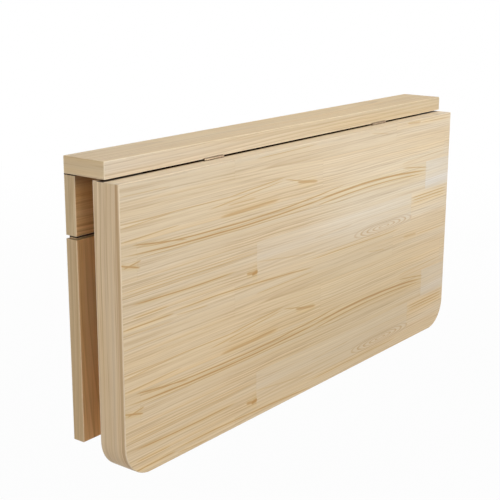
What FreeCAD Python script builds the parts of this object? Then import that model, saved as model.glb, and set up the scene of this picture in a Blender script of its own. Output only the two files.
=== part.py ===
import FreeCAD
import Part
import Sketcher
import math
import os
import re

# Wall mounted drop leaf table in pine, hanging closed.
# X runs along the wall, the front faces -Y and Z is up. The origin is the centre of the wall rail's
# back face, on the wall. Every length is in millimetres.

SIZES = [
    ("table_length", 900, "length of shelf, rail and leaf along the wall"),
    ("shelf_depth", 76, "fixed shelf, wall to front"),
    ("shelf_thickness", 24, "fixed shelf board"),
    ("rail_height", 85, "wall rail under the shelf"),
    ("rail_thickness", 20, "wall rail and posts, wall to front"),
    ("post_width", 80, "post along the wall"),
    ("post_height", 295, "post under the rail"),
    ("rail_reveal", 1.5, "shadow line under the shelf, at the rail's front and ends"),
    ("reveal_depth", 4, "shadow line, into the rail"),
    ("post_gap", 5, "shadow gap between rail and post"),
    ("stub_inset", 6, "stub on the post's top, behind the post's front and inside its sides"),
    ("leaf_height", 420, "leaf from hinge edge to free edge"),
    ("leaf_board_thickness", 24, "front board of the leaf"),
    ("batten_thickness", 24, "battens behind the leaf board"),
    ("batten_width", 80, "width of every batten"),
    ("leaf_corner_radius", 50, "round free corners of the leaf"),
    ("hinge_gap", 3.2, "gap between shelf and leaf, filled by the hinges"),
    ("board_ease", 1, "eased edges of the boards"),
    ("dowel_radius", 4, "wooden dowels"),
    ("dowel_fit", 0.05, "dowel in its hole, on the radius"),
    ("shelf_dowel_pitch", 190, "dowels between shelf and rail, along X"),
    ("shelf_dowel_up", 12, "depth of a dowel in the shelf"),
    ("shelf_dowel_down", 20, "depth of a dowel in the rail"),
    ("post_dowel_depth", 18, "depth of a dowel in rail and in post"),
    ("post_dowel_inset", 50, "middle of the dowel pair from the table's end"),
    ("post_dowel_pitch", 30, "distance between the two dowels of a post"),
    ("wall_hole_radius", 2.75, "empty holes for the wall screws"),
    ("wall_hole_inset", 50, "outer wall holes from the table's end"),
    ("rail_hole_inner", 300, "distance between the rail's inner wall holes"),
    ("post_hole_edge", 27.5, "post's wall holes from its top and bottom"),
    ("hinge_inset", 222, "middle of a hinge from the table's end"),
    ("hinge_length", 44, "hinge along its pin"),
    ("hinge_width", 19, "hinge plate from the pin to its edge"),
    ("hinge_plate", 1.2, "hinge plate thickness"),
    ("hinge_pin_radius", 1.1, "hinge pin"),
    ("hinge_pin_fit", 0.05, "pin in its knuckles, on the radius"),
    ("knuckle_radius", 2.35, "outside of the hinge barrel"),
    ("knuckle_gap", 0.2, "end gap between knuckles"),
    ("barrel_room", 0.4, "room round the barrel in wood and plates"),
    ("hinge_screw_pitch", 28, "distance between the two screws of a plate"),
    ("hinge_screw_back", 12, "screws from the pin"),
    ("screw_radius", 1.5, "screw shank"),
    ("screw_head_radius", 2.8, "countersunk screw head"),
    ("screw_head_height", 1.1, "countersunk screw head"),
    ("hinge_screw_length", 14, "hinge screw"),
    ("screw_fit", 0.05, "screw in its hole, on the radius"),
    ("stay_inset", 58, "wall ear of a stay from the table's end"),
    ("stay_plate", 2.5, "sheet of stay links and brackets"),
    ("stay_side_gap", 0.3, "side gap between stay pieces"),
    ("stay_half_width", 7, "half width of a stay link"),
    ("wall_pivot_drop", 165, "lower stay pivot under the hinge pin"),
    ("wall_pivot_reach", 12, "lower stay pivot in front of the post"),
    ("leaf_pivot_drop", 165, "upper stay pivot from the hinge pin"),
    ("leaf_pivot_reach", 12, "upper stay pivot behind the leaf"),
    ("foot_width", 21, "bracket foot along X"),
    ("foot_height", 60, "bracket foot along the post or batten"),
    ("ear_root_half", 15, "half height of a bracket ear at its foot"),
    ("foot_screw_pitch", 40, "distance between the two screws of a foot"),
    ("foot_screw_length", 16, "screw of a bracket foot"),
    ("rivet_radius", 2.5, "stay rivet shank"),
    ("rivet_fit", 0.05, "rivet in a turning link, on the radius"),
    ("rivet_head_radius", 4.5, "stay rivet head at its seat"),
    ("rivet_crown_radius", 3.2, "stay rivet head at its crown"),
    ("rivet_head_height", 1.5, "stay rivet head"),
    ("rivet_flare_radius", 3.6, "closed end of a rivet, flush in its link"),
    ("rivet_flare_height", 1.1, "closed end of a rivet"),
]

# Places worked out from the sizes, each from those above it.
PLACES = [
    ("half_length", "table_length / 2"),
    ("shelf_under", "rail_height / 2"),
    ("pin_y", "-shelf_depth"),
    ("pin_z", "shelf_under - hinge_gap / 2"),
    ("leaf_top", "shelf_under - hinge_gap"),
    ("leaf_low", "leaf_top - leaf_height"),
    ("board_back", "pin_y - hinge_gap / 2"),
    ("leaf_back", "board_back + batten_thickness"),
    ("post_top", "-rail_height / 2 - post_gap"),
    ("post_low", "post_top - post_height"),
    ("rail_front", "-rail_thickness"),
    ("rail_middle", "-rail_thickness / 2"),
    ("stub_depth", "rail_thickness - stub_inset"),
    ("stub_width", "post_width - 2 * stub_inset"),
    ("post_x", "half_length - post_width / 2"),
    ("side_batten_x", "half_length - batten_width / 2"),
    ("inner_length", "table_length - 2 * batten_width"),
    ("inner_height", "leaf_height - 2 * batten_width"),
    ("hinge_x", "half_length - hinge_inset"),
    ("knuckle_length", "(hinge_length - 2 * knuckle_gap) / 3"),
    ("barrel_void", "knuckle_radius + barrel_room"),
    ("wall_ear_x", "half_length - stay_inset"),
    ("lower_link_x", "wall_ear_x + stay_plate + stay_side_gap"),
    ("upper_link_x", "lower_link_x + stay_plate + stay_side_gap"),
    ("leaf_ear_x", "upper_link_x + stay_plate + stay_side_gap"),
    ("stay_out_x", "leaf_ear_x + stay_plate"),
    ("wall_pivot_y", "rail_front - wall_pivot_reach"),
    ("wall_pivot_z", "pin_z - wall_pivot_drop"),
    ("leaf_pivot_y", "leaf_back + leaf_pivot_reach"),
    ("leaf_pivot_z", "pin_z - leaf_pivot_drop"),
    ("raised_pivot_y", "pin_y - leaf_pivot_drop"),
    ("raised_pivot_z", "pin_z + pin_y - leaf_pivot_y"),
    ("reach_y", "raised_pivot_y - wall_pivot_y"),
    ("reach_z", "raised_pivot_z - wall_pivot_z"),
    ("link_length", "sqrt(reach_y ^ 2 + reach_z ^ 2) / 2"),
    ("span_y", "leaf_pivot_y - wall_pivot_y"),
    ("span_z", "leaf_pivot_z - wall_pivot_z"),
    ("span", "sqrt(span_y ^ 2 + span_z ^ 2)"),
    ("knee_drop", "sqrt(link_length ^ 2 - span ^ 2 / 4)"),
    ("knee_y", "(wall_pivot_y + leaf_pivot_y) / 2 - knee_drop * span_z / span"),
    ("knee_z", "(wall_pivot_z + leaf_pivot_z) / 2 + knee_drop * span_y / span"),
]

SIDES = {"left": -1, "right": 1}
ENDS = (-1, 1)
TOUCH = 1e-6
SIZE_NAMES = {alias for alias, number, meaning in SIZES}
PLACE_NAMES = {alias for alias, formula in PLACES}

# Turns that stand an upright cylinder, cone or screw along another direction.
TURNS = {
    "up": FreeCAD.Rotation(),
    "down": FreeCAD.Rotation(FreeCAD.Vector(1, 0, 0), 180),
    "front": FreeCAD.Rotation(FreeCAD.Vector(1, 0, 0), 90),
    "wall": FreeCAD.Rotation(FreeCAD.Vector(1, 0, 0), -90),
    "left": FreeCAD.Rotation(FreeCAD.Vector(0, 1, 0), -90),
    "right": FreeCAD.Rotation(FreeCAD.Vector(0, 1, 0), 90),
}

doc = FreeCAD.newDocument("DropLeafTable")
sizes = doc.addObject("Spreadsheet::Sheet", "Sizes")
places = doc.addObject("Spreadsheet::Sheet", "Places")
parts = []


def linked(formula, own_sheet=False):
    """Write a formula of plain names as an expression on the two sheets."""
    def link(match):
        word = match.group(0)
        if word in SIZE_NAMES:
            return "Sizes." + word
        if word in PLACE_NAMES and not own_sheet:
            return "Places." + word
        return word
    return re.sub(r"[a-z][a-z0-9_]*", link, formula)


def fill_sheets():
    """Enter the driving sizes, then the places that follow from them."""
    for row, (alias, number, meaning) in enumerate(SIZES, start=1):
        sizes.set(f"A{row}", meaning)
        sizes.set(f"B{row}", str(number))
        sizes.setAlias(f"B{row}", alias)
    doc.recompute()
    for row, (alias, formula) in enumerate(PLACES, start=1):
        places.set(f"A{row}", alias)
        places.set(f"B{row}", "=" + linked(formula, own_sheet=True))
        places.setAlias(f"B{row}", alias)
        doc.recompute()


def bind(thing, **formulas):
    """Bind properties of an object to formulas."""
    for name, formula in formulas.items():
        thing.setExpression(name, linked(formula))


def place(thing, x, y, z, turn="up"):
    """Bind an object's position, and turn it."""
    thing.Placement = FreeCAD.Placement(FreeCAD.Vector(), TURNS[turn])
    thing.setExpression("Placement.Base.x", linked(x))
    thing.setExpression("Placement.Base.y", linked(y))
    thing.setExpression("Placement.Base.z", linked(z))
    return thing


def keep(thing, label):
    """Name an object as one of the table's pieces."""
    thing.Label = label
    parts.append(thing)
    return thing


def box(name, length, width, height, x, y, z):
    """A box from its low corner."""
    thing = doc.addObject("Part::Box", name)
    bind(thing, Length=length, Width=width, Height=height)
    return place(thing, x, y, z)


def rod(name, radius, height, x, y, z, turn="up"):
    """A cylinder from its base."""
    thing = doc.addObject("Part::Cylinder", name)
    bind(thing, Radius=radius, Height=height)
    return place(thing, x, y, z, turn)


def cone(name, low, top, height, x, y, z, turn="up"):
    """A cut cone from its base."""
    thing = doc.addObject("Part::Cone", name)
    bind(thing, Radius1=low, Radius2=top, Height=height)
    return place(thing, x, y, z, turn)


def fuse(name, pieces):
    """One solid of several."""
    thing = doc.addObject("Part::MultiFuse", name)
    thing.Shapes = pieces
    thing.Refine = True
    return thing


def group(name, pieces):
    """Separate solids that share a name."""
    thing = doc.addObject("Part::Compound", name)
    thing.Links = pieces
    return thing


def cut(name, base, tools):
    """A solid less its holes and grooves."""
    thing = doc.addObject("Part::Cut", name)
    thing.Base = base
    thing.Tool = group(name + "_tools", tools)
    return thing


def outward(side, inner):
    """Place and direction along X of something that grows away from the table's middle."""
    return f"{side} * ({inner})", "right" if side > 0 else "left"


def slab(side, inner, thickness):
    """Low X of a slab whose face towards the table's middle is at inner."""
    return inner if side > 0 else f"-({inner}) - ({thickness})"


def lies_on(edge, axis, level):
    """Whether an edge lies wholly on the plane where one axis has one value."""
    limits = edge.BoundBox
    low = getattr(limits, axis + "Min")
    high = getattr(limits, axis + "Max")
    return abs(low - level) < TOUCH and abs(high - level) < TOUCH


def plane(body, role):
    """One of a body's own origin planes."""
    return next(feature for feature in body.Origin.OriginFeatures if feature.Role == role)


def front_rectangle(body, width, height):
    """A sketch seen from the front: a rectangle on the body's X axis, centred on its Z axis."""
    sketch = body.newObject("Sketcher::SketchObject", body.Name + "_outline")
    sketch.AttachmentSupport = [(plane(body, "XZ_Plane"), "")]
    sketch.MapMode = "FlatFace"
    corners = [FreeCAD.Vector(x, z) for x, z in ((-1, 0), (1, 0), (1, 1), (-1, 1))]
    for index, corner in enumerate(corners):
        sketch.addGeometry(Part.LineSegment(corner, corners[(index + 1) % len(corners)]), False)
    for index in range(len(corners)):
        following = (index + 1) % len(corners)
        sketch.addConstraint(Sketcher.Constraint("Coincident", index, 2, following, 1))
    sketch.addConstraint(Sketcher.Constraint("Horizontal", 2))
    for index in (1, 3):
        sketch.addConstraint(Sketcher.Constraint("Vertical", index))
    sketch.addConstraint(Sketcher.Constraint("PointOnObject", 0, 1, -1))
    sketch.addConstraint(Sketcher.Constraint("Symmetric", 0, 1, 0, 2, -2))
    for name, line, kind, formula in (("wide", 0, "DistanceX", width), ("high", 1, "DistanceY", height)):
        number = sketch.addConstraint(Sketcher.Constraint(kind, line, 1, line, 2, 1.0))
        sketch.renameConstraint(number, name)
        sketch.setExpression("Constraints." + name, linked(formula))
    return sketch


def round_edges(body, base, name, radius, chosen):
    """Round the chosen edges of a body's last feature."""
    doc.recompute()
    edges = [f"Edge{index}" for index, edge in enumerate(base.Shape.Edges, start=1) if chosen(edge)]
    rounding = body.newObject("PartDesign::Fillet", body.Name + name)
    rounding.Base = (base, edges)
    bind(rounding, Radius=radius)
    doc.recompute()
    return rounding


def board(name, width, height, thickness, x, y, z):
    """A board from its outline, its back at y and its low edge at z."""
    body = doc.addObject("PartDesign::Body", name + "_blank")
    pad = body.newObject("PartDesign::Pad", body.Name + "_pad")
    pad.Profile = front_rectangle(body, width, height)
    bind(pad, Length=thickness)
    place(body, x, y, z)
    return body, pad


def screw(name, length, grow, x, y, z, turn):
    """A countersunk screw, or with grow its hole, from the face of its head inwards."""
    head = cone(name + "_head", f"screw_head_radius + {grow}", f"screw_radius + {grow}",
                "screw_head_height", "0", "0", "0")
    shank = rod(name + "_shank", f"screw_radius + {grow}", length, "0", "0", "0")
    return place(fuse(name, [head, shank]), x, y, z, turn)


def shelf():
    """The fixed shelf, its edge over the leaf left square, with dowel and screw holes and barrel grooves."""
    body, pad = board("shelf", "table_length", "shelf_thickness", "shelf_depth", "0", "0", "shelf_under")
    front = -sizes.shelf_depth
    top = sizes.shelf_thickness
    rounding = round_edges(body, pad, "_ease", "board_ease", lambda edge: (
        lies_on(edge, "Y", front) and not lies_on(edge, "Z", 0)
        or lies_on(edge, "Z", top) and not lies_on(edge, "Y", 0)))
    body.Tip = rounding
    tools = [rod(f"shelf_dowel_hole_{index}", "dowel_radius + dowel_fit", "shelf_dowel_up",
                 f"{index} * shelf_dowel_pitch", "rail_middle", "shelf_under")
             for index in range(-2, 3)]
    tools += barrel_grooves("shelf")
    tools += hinge_pilots("shelf", "shelf_under", "up")
    keep(cut("shelf_cut", body, tools), "shelf")


def barrel_grooves(name):
    """Grooves round both hinge barrels."""
    return [rod(f"{name}_{side}_groove", "barrel_void", "hinge_length + 2 * barrel_room",
                f"{sign} * hinge_x - hinge_length / 2 - barrel_room", "pin_y", "pin_z", "right")
            for side, sign in SIDES.items()]


def hinge_screw_places():
    """Name and X of every screw of one row of hinge plates."""
    for side, sign in SIDES.items():
        for end in ENDS:
            yield f"{side}_{end + 1}", f"{sign} * hinge_x + {end} * hinge_screw_pitch / 2"


def hinge_pilots(name, z, turn):
    """Holes in the wood for the screws of one row of hinge plates."""
    return [rod(f"{name}_pilot_{key}", "screw_radius + screw_fit", "hinge_screw_length",
                x, "pin_y + hinge_screw_back", z, turn)
            for key, x in hinge_screw_places()]


def wall_rail():
    """The rail that hangs the table on the wall, with a shadow line along its top."""
    body, pad = board("rail", "table_length", "rail_height", "rail_thickness", "0", "0", "-rail_height / 2")
    front = -sizes.rail_thickness
    top = sizes.rail_height
    rounding = round_edges(body, pad, "_ease", "board_ease", lambda edge: (
        lies_on(edge, "Y", front) and not lies_on(edge, "Z", top)))
    body.Tip = rounding
    tools = [rod(f"rail_dowel_hole_{index}", "dowel_radius + dowel_fit", "shelf_dowel_down",
                 f"{index} * shelf_dowel_pitch", "rail_middle", "shelf_under", "down")
             for index in range(-2, 3)]
    tools += [rod(f"rail_post_hole_{key}", "dowel_radius + dowel_fit", "post_dowel_depth",
                  x, "-stub_depth / 2", "-rail_height / 2")
              for key, x in post_dowel_places()]
    for side, sign in SIDES.items():
        for key, x in (("outer", "half_length - wall_hole_inset"), ("inner", "rail_hole_inner / 2")):
            tools.append(rod(f"rail_{side}_{key}_hole", "wall_hole_radius", "rail_thickness",
                             f"{sign} * ({x})", "0", "0", "front"))
    reveal_low = "shelf_under - rail_reveal"
    tools.append(box("rail_front_reveal", "table_length", "reveal_depth", "rail_reveal",
                     "-half_length", "-rail_thickness", reveal_low))
    for side, x in (("left", "-half_length"), ("right", "half_length - reveal_depth")):
        tools.append(box(f"rail_{side}_reveal", "reveal_depth", "rail_thickness - reveal_depth", "rail_reveal",
                         x, "-rail_thickness", reveal_low))
    keep(cut("rail_cut", body, tools), "wall_rail")


def post_dowel_places(sides=("left", "right")):
    """Name and X of the dowels between rail and posts."""
    for side in sides:
        for end in ENDS:
            x = f"half_length - post_dowel_inset + {end} * post_dowel_pitch / 2"
            yield f"{side}_{end + 1}", f"{SIDES[side]} * ({x})"


def post(side, sign):
    """A wall post under the rail, with a stub on its top, wall holes, dowel holes and bracket screw holes."""
    body, pad = board(f"{side}_post", "post_width", "post_height", "rail_thickness",
                      f"{sign} * post_x", "0", "post_low")
    front = -sizes.rail_thickness
    rounding = round_edges(body, pad, "_ease", "board_ease", lambda edge: lies_on(edge, "Y", front))
    body.Tip = rounding
    stub = box(f"{side}_post_stub", "stub_width", "stub_depth", "post_gap",
               f"{sign} * post_x - stub_width / 2", "-stub_depth", "post_top")
    tools = [rod(f"{side}_post_dowel_hole_{key}", "dowel_radius + dowel_fit", "post_gap + post_dowel_depth",
                 x, "-stub_depth / 2", "post_top + post_gap", "down")
             for key, x in post_dowel_places((side,))]
    for key, z in (("top", "post_top - post_hole_edge"), ("low", "post_low + post_hole_edge")):
        tools.append(rod(f"{side}_post_{key}_hole", "wall_hole_radius", "rail_thickness",
                         f"{sign} * (half_length - wall_hole_inset)", "0", z, "front"))
    for key, z in foot_screw_places("wall_pivot_z"):
        tools.append(rod(f"{side}_post_pilot_{key}", "screw_radius + screw_fit", "foot_screw_length",
                         f"{sign} * ({WALL_FOOT_X})", "rail_front", z, "wall"))
    keep(cut(f"{side}_post_cut", fuse(f"{side}_post_stepped", [body, stub]), tools), f"{side}_post")


def dowels():
    """Wooden dowels that join shelf, rail and posts."""
    shelf_row = [rod(f"shelf_dowel_{index}", "dowel_radius", "shelf_dowel_up + shelf_dowel_down",
                     f"{index} * shelf_dowel_pitch", "rail_middle", "shelf_under - shelf_dowel_down")
                 for index in range(-2, 3)]
    keep(group("shelf_dowel_group", shelf_row), "shelf_dowels")
    post_row = [rod(f"post_dowel_{key}", "dowel_radius", "2 * post_dowel_depth + post_gap",
                    x, "-stub_depth / 2", "post_top - post_dowel_depth")
                for key, x in post_dowel_places()]
    keep(group("post_dowel_group", post_row), "post_dowels")


def leaf_board():
    """The leaf's front board, with two round corners and an eased front outline."""
    body, pad = board("leaf", "table_length", "leaf_height", "leaf_board_thickness",
                      "0", "board_back", "leaf_low")
    side = sizes.table_length / 2
    front = -sizes.leaf_board_thickness
    corners = round_edges(body, pad, "_corners", "leaf_corner_radius", lambda edge: (
        lies_on(edge, "Z", 0) and (lies_on(edge, "X", side) or lies_on(edge, "X", -side))))
    rounding = round_edges(body, corners, "_ease", "board_ease", lambda edge: lies_on(edge, "Y", front))
    body.Tip = rounding
    keep(cut("leaf_board_cut", body, barrel_grooves("leaf_board")), "leaf_board")


def side_batten(side, sign):
    """A batten along one end of the leaf, with the leaf's round corner and bracket screw holes."""
    body, pad = board(f"{side}_batten", "batten_width", "leaf_height", "batten_thickness",
                      f"{sign} * side_batten_x", "leaf_back", "leaf_low")
    outer = sign * sizes.batten_width / 2
    corner = round_edges(body, pad, "_corner", "leaf_corner_radius", lambda edge: (
        lies_on(edge, "Z", 0) and lies_on(edge, "X", outer)))
    top = sizes.leaf_height
    rounding = round_edges(body, corner, "_ease", "board_ease", lambda edge: (
        lies_on(edge, "Y", 0) and not lies_on(edge, "X", -outer) and not lies_on(edge, "Z", top)))
    body.Tip = rounding
    tools = [rod(f"{side}_batten_pilot_{key}", "screw_radius + screw_fit", "foot_screw_length",
                 f"{sign} * ({LEAF_FOOT_X})", "leaf_back", z, "front")
             for key, z in foot_screw_places("leaf_pivot_z")]
    keep(cut(f"{side}_batten_cut", body, tools), f"leaf_{side}_batten")


def long_battens():
    """The battens along the hinge edge and the free edge, and the one between them."""
    body, pad = board("front_batten", "inner_length", "batten_width", "batten_thickness",
                      "0", "leaf_back", "leaf_low")
    rounding = round_edges(body, pad, "_ease", "board_ease", lambda edge: (
        lies_on(edge, "Y", 0) and lies_on(edge, "Z", 0)))
    body.Tip = rounding
    keep(body, "leaf_front_batten")
    body, pad = board("rear_batten", "inner_length", "batten_width", "batten_thickness",
                      "0", "leaf_back", "leaf_top - batten_width")
    tools = barrel_grooves("rear_batten") + hinge_pilots("rear_batten", "leaf_top", "down")
    keep(cut("rear_batten_cut", body, tools), "leaf_rear_batten")
    body, pad = board("cross_batten", "batten_width", "inner_height", "batten_thickness",
                      "0", "leaf_back", "leaf_low + batten_width")
    keep(body, "leaf_cross_batten")


def hinge_half(name, sign, up, knuckles):
    """One plate of a hinge: a flat plate with rolled knuckles, two countersunk holes and a pin bore.

    up is 1 for the plate under the shelf and -1 for the plate on the leaf's edge.
    """
    low = f"{sign} * hinge_x - hinge_length / 2"
    level = "pin_z + hinge_gap / 2 - hinge_plate" if up > 0 else "pin_z - hinge_gap / 2"
    seat = "pin_z + hinge_gap / 2 - hinge_plate" if up > 0 else "pin_z - hinge_gap / 2 + hinge_plate"
    pieces = [box(f"{name}_plate", "hinge_length", "hinge_width - barrel_void", "hinge_plate",
                  low, "pin_y + barrel_void", level)]
    for index in knuckles:
        x = f"{low} + {index} * (knuckle_length + knuckle_gap)"
        pieces.append(box(f"{name}_web_{index}", "knuckle_length", "barrel_void", "hinge_plate",
                          x, "pin_y", level))
        pieces.append(rod(f"{name}_knuckle_{index}", "knuckle_radius", "knuckle_length",
                          x, "pin_y", "pin_z", "right"))
    tools = [rod(f"{name}_bore", "hinge_pin_radius + hinge_pin_fit", "hinge_length",
                 low, "pin_y", "pin_z", "right")]
    for end in ENDS:
        tools.append(screw(f"{name}_hole_{end + 1}", "hinge_plate", "screw_fit",
                           f"{sign} * hinge_x + {end} * hinge_screw_pitch / 2",
                           "pin_y + hinge_screw_back", seat, "up" if up > 0 else "down"))
    return cut(f"{name}_cut", fuse(f"{name}_blank", pieces), tools)


def hinges():
    """Two butt hinges in the gap between shelf and leaf, with pins and screws."""
    for side, sign in SIDES.items():
        keep(hinge_half(f"{side}_shelf_leaf", sign, 1, (0, 2)), f"{side}_hinge_shelf_plate")
        keep(hinge_half(f"{side}_board_leaf", sign, -1, (1,)), f"{side}_hinge_leaf_plate")
        pin = rod(f"{side}_pin_rod", "hinge_pin_radius", "hinge_length",
                  f"{sign} * hinge_x - hinge_length / 2", "pin_y", "pin_z", "right")
        keep(pin, f"{side}_hinge_pin")
    rows = (("shelf", "pin_z + hinge_gap / 2 - hinge_plate", "up"),
            ("leaf", "pin_z - hinge_gap / 2 + hinge_plate", "down"))
    for row, seat, turn in rows:
        screws = [screw(f"{row}_hinge_screw_{key}", "hinge_screw_length", "0",
                        x, "pin_y + hinge_screw_back", seat, turn)
                  for key, x in hinge_screw_places()]
        keep(group(f"{row}_hinge_screw_group", screws), f"{row}_hinge_screws")


def foot_screw_places(middle):
    """Name and Z of the two screws of a bracket foot."""
    for end in ENDS:
        yield f"{end + 1}", f"{middle} + {end} * foot_screw_pitch / 2"


# Screw line of a wall foot, which runs towards the table's middle, and of a leaf foot, which runs outwards.
WALL_FOOT_X = "wall_ear_x + stay_plate - foot_width / 2"
LEAF_FOOT_X = "leaf_ear_x + foot_width / 2"


def bracket(name, sign, foot_inner, ear_inner, seat_y, front, pivot_y, pivot_z, screw_x):
    """A bent bracket: a foot with two countersunk holes, and a tapered ear with the rivet hole.

    front is 1 where the ear points to the front, as on a post, and -1 where it points to the wall.
    """
    reach = f"{front} * ({seat_y} - ({pivot_y}))"
    foot_low = f"{seat_y} - stay_plate" if front > 0 else seat_y
    foot = box(f"{name}_foot", "foot_width", "stay_plate", "foot_height",
               slab(sign, foot_inner, "foot_width"), foot_low, f"{pivot_z} - foot_height / 2")
    ear = doc.addObject("Part::Wedge", f"{name}_ear")
    bind(ear, Xmin="0", Xmax="stay_plate", X2min="0", X2max="stay_plate", Ymin="0", Ymax=reach,
         Zmin="-ear_root_half", Zmax="ear_root_half", Z2min="-stay_half_width", Z2max="stay_half_width")
    place(ear, slab(sign, ear_inner, "stay_plate"), seat_y, pivot_z, "down" if front > 0 else "up")
    x, turn = outward(sign, ear_inner)
    nose = rod(f"{name}_nose", "stay_half_width", "stay_plate", x, pivot_y, pivot_z, turn)
    tools = [rod(f"{name}_bore", "rivet_radius + rivet_fit", "stay_plate", x, pivot_y, pivot_z, turn)]
    head_y = f"{seat_y} - {front} * stay_plate"
    for key, z in foot_screw_places(pivot_z):
        tools.append(screw(f"{name}_hole_{key}", "stay_plate", "screw_fit", f"{sign} * ({screw_x})",
                           head_y, z, "wall" if front > 0 else "front"))
    return cut(f"{name}_cut", fuse(f"{name}_blank", [foot, ear, nose]), tools)


def link(name, sign, inner, flare_out, pivot_y, pivot_z):
    """A flat stay link with round ends and two rivet holes, hanging from its pivot to the knee.

    flare_out is 1 where the face away from the table's middle meets the other link, or else 0.
    """
    low = slab(sign, "0", "stay_plate")
    bar = box(f"{name}_bar", "stay_plate", "2 * stay_half_width", "link_length",
              low, "-stay_half_width", "-link_length")
    ends = []
    tools = []
    for key, z in (("pivot", "0"), ("knee", "-link_length")):
        x, turn = outward(sign, "0")
        ends.append(rod(f"{name}_{key}_end", "stay_half_width", "stay_plate", x, "0", z, turn))
        tools.append(rod(f"{name}_{key}_bore", "rivet_radius + rivet_fit", "stay_plate", x, "0", z, turn))
        tools.append(flare(f"{name}_{key}_flare", sign, "0", flare_out, "rivet_fit", "0", z))
    thing = cut(f"{name}_cut", fuse(f"{name}_blank", [bar] + ends), tools)
    across = places.knee_y - getattr(places, pivot_y)
    down = getattr(places, pivot_z) - places.knee_z
    lean = math.degrees(math.atan2(across, down))
    place(thing, f"{sign} * {inner}", pivot_y, pivot_z)
    thing.Placement.Rotation = FreeCAD.Rotation(FreeCAD.Vector(1, 0, 0), lean)
    return thing


def flare(name, sign, inner, flare_out, grow, y, z):
    """The spread end of a rivet in a link, flush with the face that meets the other link."""
    low, top = f"rivet_radius + {grow}", f"rivet_flare_radius + {grow}"
    if flare_out:
        x, turn = outward(sign, f"{inner} + stay_plate - rivet_flare_height")
        return cone(name, low, top, "rivet_flare_height", x, y, z, turn)
    x, turn = outward(sign, inner)
    return cone(name, top, low, "rivet_flare_height", x, y, z, turn)


def rivet(name, sign, head_x, head_out, link_x, length, y, z):
    """A rivet with a head, a shank and a flush spread end in its link.

    head_x is the face that the head sits on; head_out is 1 where the head points away from the middle.
    """
    if head_out:
        x, turn = outward(sign, head_x)
        shank_x = f"{head_x} - ({length})"
        head = cone(f"{name}_head", "rivet_head_radius", "rivet_crown_radius", "rivet_head_height", x, y, z, turn)
    else:
        x, turn = outward(sign, f"{head_x} - rivet_head_height")
        shank_x = head_x
        head = cone(f"{name}_head", "rivet_crown_radius", "rivet_head_radius", "rivet_head_height", x, y, z, turn)
    x, turn = outward(sign, shank_x)
    shank = rod(f"{name}_shank", "rivet_radius", length, x, y, z, turn)
    end = flare(f"{name}_end", sign, link_x, 0 if head_out else 1, "0", y, z)
    return fuse(f"{name}_solid", [head, shank, end])


def stays():
    """A folding stay at each end: wall bracket, lower link, upper link and leaf bracket."""
    through = "2 * stay_plate + stay_side_gap"
    for side, sign in SIDES.items():
        keep(bracket(f"{side}_wall_foot", sign, "wall_ear_x + stay_plate - foot_width", "wall_ear_x",
                     "rail_front", 1, "wall_pivot_y", "wall_pivot_z", WALL_FOOT_X),
             f"{side}_stay_wall_bracket")
        keep(bracket(f"{side}_leaf_foot", sign, "leaf_ear_x", "leaf_ear_x",
                     "leaf_back", -1, "leaf_pivot_y", "leaf_pivot_z", LEAF_FOOT_X),
             f"{side}_stay_leaf_bracket")
        keep(link(f"{side}_lower", sign, "lower_link_x", 1, "wall_pivot_y", "wall_pivot_z"),
             f"{side}_stay_lower_link")
        keep(link(f"{side}_upper", sign, "upper_link_x", 0, "leaf_pivot_y", "leaf_pivot_z"),
             f"{side}_stay_upper_link")
        keep(rivet(f"{side}_wall_rivet", sign, "wall_ear_x", 0, "lower_link_x", through,
                   "wall_pivot_y", "wall_pivot_z"), f"{side}_stay_wall_rivet")
        keep(rivet(f"{side}_leaf_rivet", sign, "stay_out_x", 1, "upper_link_x", through,
                   "leaf_pivot_y", "leaf_pivot_z"), f"{side}_stay_leaf_rivet")
        keep(rivet(f"{side}_lower_knee", sign, "lower_link_x", 0, "lower_link_x", "stay_plate",
                   "knee_y", "knee_z"), f"{side}_stay_lower_knee_rivet")
        keep(rivet(f"{side}_upper_knee", sign, "upper_link_x + stay_plate", 1, "upper_link_x", "stay_plate",
                   "knee_y", "knee_z"), f"{side}_stay_upper_knee_rivet")
    rows = (("wall", "rail_front - stay_plate", "wall_pivot_z", WALL_FOOT_X, "wall"),
            ("leaf", "leaf_back + stay_plate", "leaf_pivot_z", LEAF_FOOT_X, "front"))
    for row, y, middle, x, turn in rows:
        screws = [screw(f"{row}_foot_screw_{side}_{key}", "foot_screw_length", "0",
                        f"{sign} * ({x})", y, z, turn)
                  for side, sign in SIDES.items()
                  for key, z in foot_screw_places(middle)]
        keep(group(f"{row}_foot_screw_group", screws), f"{row}_stay_screws")


def check():
    """Stop if any object failed or any piece is empty or invalid."""
    doc.recompute()
    failed = [thing.Name for thing in doc.Objects if {"Invalid", "Error"} & set(thing.State)]
    if failed:
        raise RuntimeError("failed objects: " + ", ".join(failed))
    for thing in parts:
        if thing.Shape.isNull() or not thing.Shape.isValid() or not thing.Shape.Solids:
            raise RuntimeError("bad shape: " + thing.Label)


def main():
    """Build every piece, check it and write one file per piece."""
    fill_sheets()
    shelf()
    wall_rail()
    for side, sign in SIDES.items():
        post(side, sign)
    dowels()
    leaf_board()
    for side, sign in SIDES.items():
        side_batten(side, sign)
    long_battens()
    hinges()
    stays()
    check()
    os.makedirs("parts", exist_ok=True)
    for thing in parts:
        thing.Shape.exportStep(f"parts/{thing.Label}.step")
        print(thing.Label, len(thing.Shape.Solids), round(thing.Shape.Volume, 1))


main()
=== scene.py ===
"""Dresses a wall mounted drop leaf table: glued pine boards, plated butt hinges and folding stays."""
import logging
import math
from collections.abc import Iterator
from dataclasses import dataclass, field, replace
from enum import Enum

import bmesh
import bpy
from mathutils import Euler, Matrix, Vector


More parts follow.
